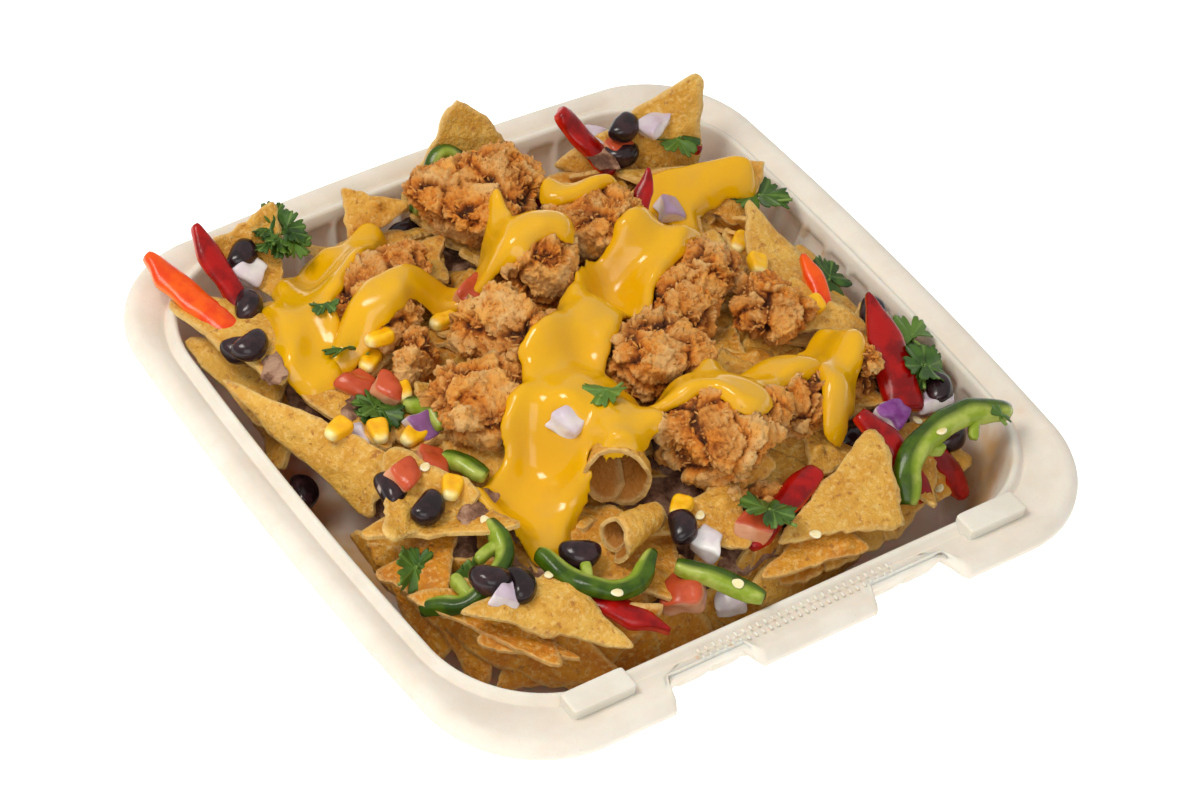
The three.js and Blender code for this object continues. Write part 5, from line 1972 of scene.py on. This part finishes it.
@dataclass
class CheeseSauce:
    """Streams of cheese sauce that drape over what lies under them."""

    finishes: Finishes
    ground: Ground
    cell: float = 0.6
    thickness: float = 4.0
    spread: float = 3.6
    bridging: int = 6
    brim: float = 1.1
    lowest: float = 36.0
    felt: float = 1.9
    margin: float = 4.0
    voxel: float = 0.5
    relaxing: int = 14
    seed: int = 60

    def nearness(self, x: Array, y: Array, plans: Sequence[Sequence[Point]]) -> Array:
        """How far out of the streams each place is.

        Args:
            x: plan grid.
            y: plan grid.
            plans: middle lines with half widths.

        Returns:
            0 on a middle line, 1 at an edge.
        """
        best = np.full(x.shape, 9.0)
        for plan in plans:
            for px, py, half in smooth_curve(plan, 14 * len(plan)):
                best = np.minimum(best, np.hypot(x - px, y - py) / half)
        return best

    def soften(self, heights: Array, reach: float) -> Array:
        """Blurs a height map.

        Args:
            heights: the map.
            reach: about how far it is blurred, mm.

        Returns:
            The blurred map.
        """
        steps = int(round(2.5 * reach / self.cell))
        weights = np.exp(-0.5 * (np.arange(-steps, steps + 1) * self.cell / reach) ** 2)
        weights /= weights.sum()
        blurred = heights
        for axis in (0, 1):
            padded = np.pad(blurred, [(steps, steps) if axis == a else (0, 0) for a in (0, 1)], mode="edge")
            size = heights.shape[axis]
            blurred = sum(w * np.take(padded, range(k, k + size), axis=axis) for k, w in enumerate(weights))
        return blurred

    def trim(self, x: Array, y: Array, top: Array, edge: Array, keep: Array) -> None:
        """Moves the outermost points of a sheet onto its smooth outline.

        Args:
            x: plan grid, changed in place.
            y: plan grid, changed in place.
            top: heights, changed in place.
            edge: how far out each point is.
            keep: the points that belong to the sheet.
        """
        inner = keep.copy()
        for axis in (0, 1):
            for step in (-1, 1):
                inner &= np.roll(keep, step, axis=axis)
        brink = keep & ~inner
        slope_x, slope_y = np.gradient(edge, self.cell)
        steep = np.maximum(slope_x**2 + slope_y**2, 1e-4)
        push = np.clip((self.brim - edge) / steep, 0, self.cell / np.sqrt(steep))
        fall_x, fall_y = np.gradient(top, self.cell)
        top[brink] += (push * (slope_x * fall_x + slope_y * fall_y))[brink]
        x[brink] += (push * slope_x)[brink]
        y[brink] += (push * slope_y)[brink]

    def closed(self, upper: Array, lower: Array, keep: Array) -> Shape:
        """Joins the upper and lower face of a sheet round its rim.

        Args:
            upper: points of the upper face.
            lower: points of the lower face.
            keep: the cells' corners that belong to the sheet.

        Returns:
            A closed shape.
        """
        number = np.full(keep.shape, -1)
        number[keep] = np.arange(keep.sum())
        count = len(upper)
        cells = keep[:-1, :-1] & keep[1:, :-1] & keep[1:, 1:] & keep[:-1, 1:]
        faces: Faces = []
        edges: dict[tuple[int, int], None] = {}
        for i, j in zip(*np.nonzero(cells)):
            around = (number[i, j], number[i + 1, j], number[i + 1, j + 1], number[i, j + 1])
            corners = tuple(int(corner) for corner in around)
            faces.append(corners)
            faces.append(tuple(corner + count for corner in reversed(corners)))
            for a, b in zip(corners, corners[1:] + corners[:1]):
                if (b, a) in edges:
                    del edges[b, a]
                else:
                    edges[a, b] = None
        faces += [(a, a + count, b + count, b) for a, b in edges]
        return Shape(np.concatenate([upper, lower]), faces)

    def stream(self, plans: Sequence[Sequence[Point]], seed: int) -> Shape:
        """One body of sauce as a draped sheet with a rounded rim.

        Args:
            plans: middle lines with half widths.
            seed: fixes its unevenness.

        Returns:
            A closed shape.
        """
        spots = np.array([point for plan in plans for point in plan])
        margin = spots[:, 2].max() + self.margin
        spans = [(spots[:, i].min() - margin, spots[:, i].max() + margin) for i in (0, 1)]
        x, y = np.meshgrid(*[np.arange(low, high, self.cell) for low, high in spans], indexing="ij")
        flat = np.column_stack([x.ravel(), y.ravel(), np.zeros(x.size)])
        waves = [Ripple(size, seed + i).at(flat).reshape(x.shape) for i, size in enumerate((17, 7, 21))]
        edge = self.nearness(x, y, plans) * (1 + 0.10 * waves[0] + 0.05 * waves[1])
        bed = np.full(x.shape, self.lowest)
        for i, j in zip(*np.nonzero(edge < self.felt)):
            bed[i, j] = self.ground.top(x[i, j], y[i, j], self.lowest)
        highest = bed
        for _ in range(self.bridging):
            around = [np.roll(highest, step, axis=axis) for step in (-1, 1) for axis in (0, 1)]
            highest = np.maximum.reduce([highest, *around])
        level = self.soften(highest, self.spread)
        level = level + 1.6 * self.soften(np.maximum(bed + 0.6 - level, 0), 1.6)
        rounding = np.where(edge < 1, np.sqrt(np.clip(1 - edge**4.5, 0, 1)), -(edge - 1) * 4.0)
        uneven = 1 + 0.2 * waves[2]
        top = self.soften(level + self.thickness * uneven * rounding * 0.75, 1.0) - 0.4
        keep = edge < self.brim
        self.trim(x, y, top, edge, keep)
        upper = np.column_stack([x[keep], y[keep], top[keep]])
        under = np.minimum(level[keep] - 2.6, top[keep] - 0.8)
        return self.closed(upper, np.column_stack([x[keep], y[keep], under]), keep)

    def build(self) -> list[Any]:
        """Pours every stream over the pieces under it.

        Returns:
            The streams.
        """
        poured = []
        for number, (node, plans) in enumerate(STREAMS.items()):
            shape = self.stream(plans, self.seed + 5 * number)
            piece = make_object(f"poured_{node}", shape, self.finishes.cheese)
            work = bmesh.new()
            work.from_mesh(piece.data)
            bmesh.ops.delete(work, geom=[v for v in work.verts if not v.link_faces], context="VERTS")
            work.to_mesh(piece.data)
            work.free()
            evened(piece, self.voxel, self.relaxing)
            poured.append(settle(piece, [node]))
        return poured


@dataclass(frozen=True)
class Lamp:
    """A square soft light: place and size in metres, power in watts, and tint."""

    name: str
    at: Point
    size: float
    power: float
    colour: str


@dataclass
class Studio:
    """Pale floor, soft light and the camera of the photograph."""

    azimuth: float = -41.0
    elevation: float = 44.4
    roll: float = 9.0
    distance: float = 1.146
    target: Point = (-0.0035, -0.0058, 0.038)
    lens: float = 115.2
    sensor: float = 36.0
    near: float = 0.01
    half_floor: float = 3.0
    floor_glow: float = 0.6
    surroundings: float = 0.59
    lamps: tuple[Lamp, ...] = (
        Lamp("key light", (-0.5, 0.14, 0.9), 0.36, 5.2, "FFFAF2"),
        Lamp("fill light", (-0.5, -0.7, 0.6), 0.6, 2.2, "FFFFFF"),
    )

    def camera(self) -> None:
        """Places the camera at the photograph's angle."""
        a, e, r = (math.radians(v) for v in (self.azimuth, self.elevation, self.roll))
        back = Vector((math.sin(a) * math.cos(e), -math.cos(a) * math.cos(e), math.sin(e)))
        level = Vector((math.cos(a), math.sin(a), 0))
        rise = back.cross(level)
        right = level * math.cos(r) + rise * math.sin(r)
        up = rise * math.cos(r) - level * math.sin(r)
        data = bpy.data.cameras.new("photo camera")
        data.lens = self.lens
        data.sensor_width = self.sensor
        data.clip_start = self.near
        camera = bpy.data.objects.new("photo camera", data)
        place = Matrix((right, up, back)).transposed().to_4x4()
        place.translation = Vector(self.target) + back * self.distance
        camera.matrix_world = place
        SCENE.collection.objects.link(camera)
        SCENE.camera = camera

    def floor(self) -> None:
        """A plain, nearly white floor."""
        half = self.half_floor
        corners = [(-half, -half, 0), (half, -half, 0), (half, half, 0), (-half, half, 0)]
        mesh = bpy.data.meshes.new("floor")
        mesh.from_pydata(corners, [], [(0, 1, 2, 3)])
        piece = bpy.data.objects.new("floor", mesh)
        SCENE.collection.objects.link(piece)
        material = bpy.data.materials.new("white paper sweep")
        material.use_nodes = True
        shader = material.node_tree.nodes["Principled BSDF"]
        shader.inputs["Base Color"].default_value = linear("F4F4F4")
        shader.inputs["Roughness"].default_value = 0.9
        shader.inputs["Emission Color"].default_value = linear("FFFFFF")
        shader.inputs["Emission Strength"].default_value = self.floor_glow
        mesh.materials.append(material)

    def light(self, lamp: Lamp) -> None:
        """Hangs a lamp so that it faces the plate.

        Args:
            lamp: the lamp.
        """
        data = bpy.data.lights.new(lamp.name, "AREA")
        data.size = lamp.size
        data.energy = lamp.power
        data.color = linear(lamp.colour)[:3]
        hung = bpy.data.objects.new(lamp.name, data)
        hung.location = lamp.at
        hung.rotation_euler = (Vector(self.target) - Vector(lamp.at)).to_track_quat("-Z", "Y").to_euler()
        SCENE.collection.objects.link(hung)

    def build(self) -> None:
        """Sets camera, floor, lights and surroundings."""
        self.camera()
        self.floor()
        for lamp in self.lamps:
            self.light(lamp)
        world = bpy.data.worlds.new("white studio")
        world.use_nodes = True
        background = world.node_tree.nodes["Background"]
        background.inputs["Color"].default_value = linear("FFFFFF")
        background.inputs["Strength"].default_value = self.surroundings
        SCENE.world = world
        SCENE.view_settings.view_transform = "Standard"


def main() -> None:
    """Builds the tray and the food on it, in order, and the studio round them."""
    logging.basicConfig(level=logging.INFO, format="%(name)s: %(message)s")
    Studio().build()
    finishes = Finishes()
    laid = [Tray(finishes).build()]
    laid += ChipHeap(finishes).build()
    laid += ChickenPieces(finishes).build()
    laid += CheeseSauce(finishes, Ground(laid)).build()
    laid += CutStrips(finishes).build()
    laid += SmallPieces(finishes, Ground(laid)).build()
    Coriander(finishes, Ground(laid)).build()


if __name__ == "__main__":
    main()
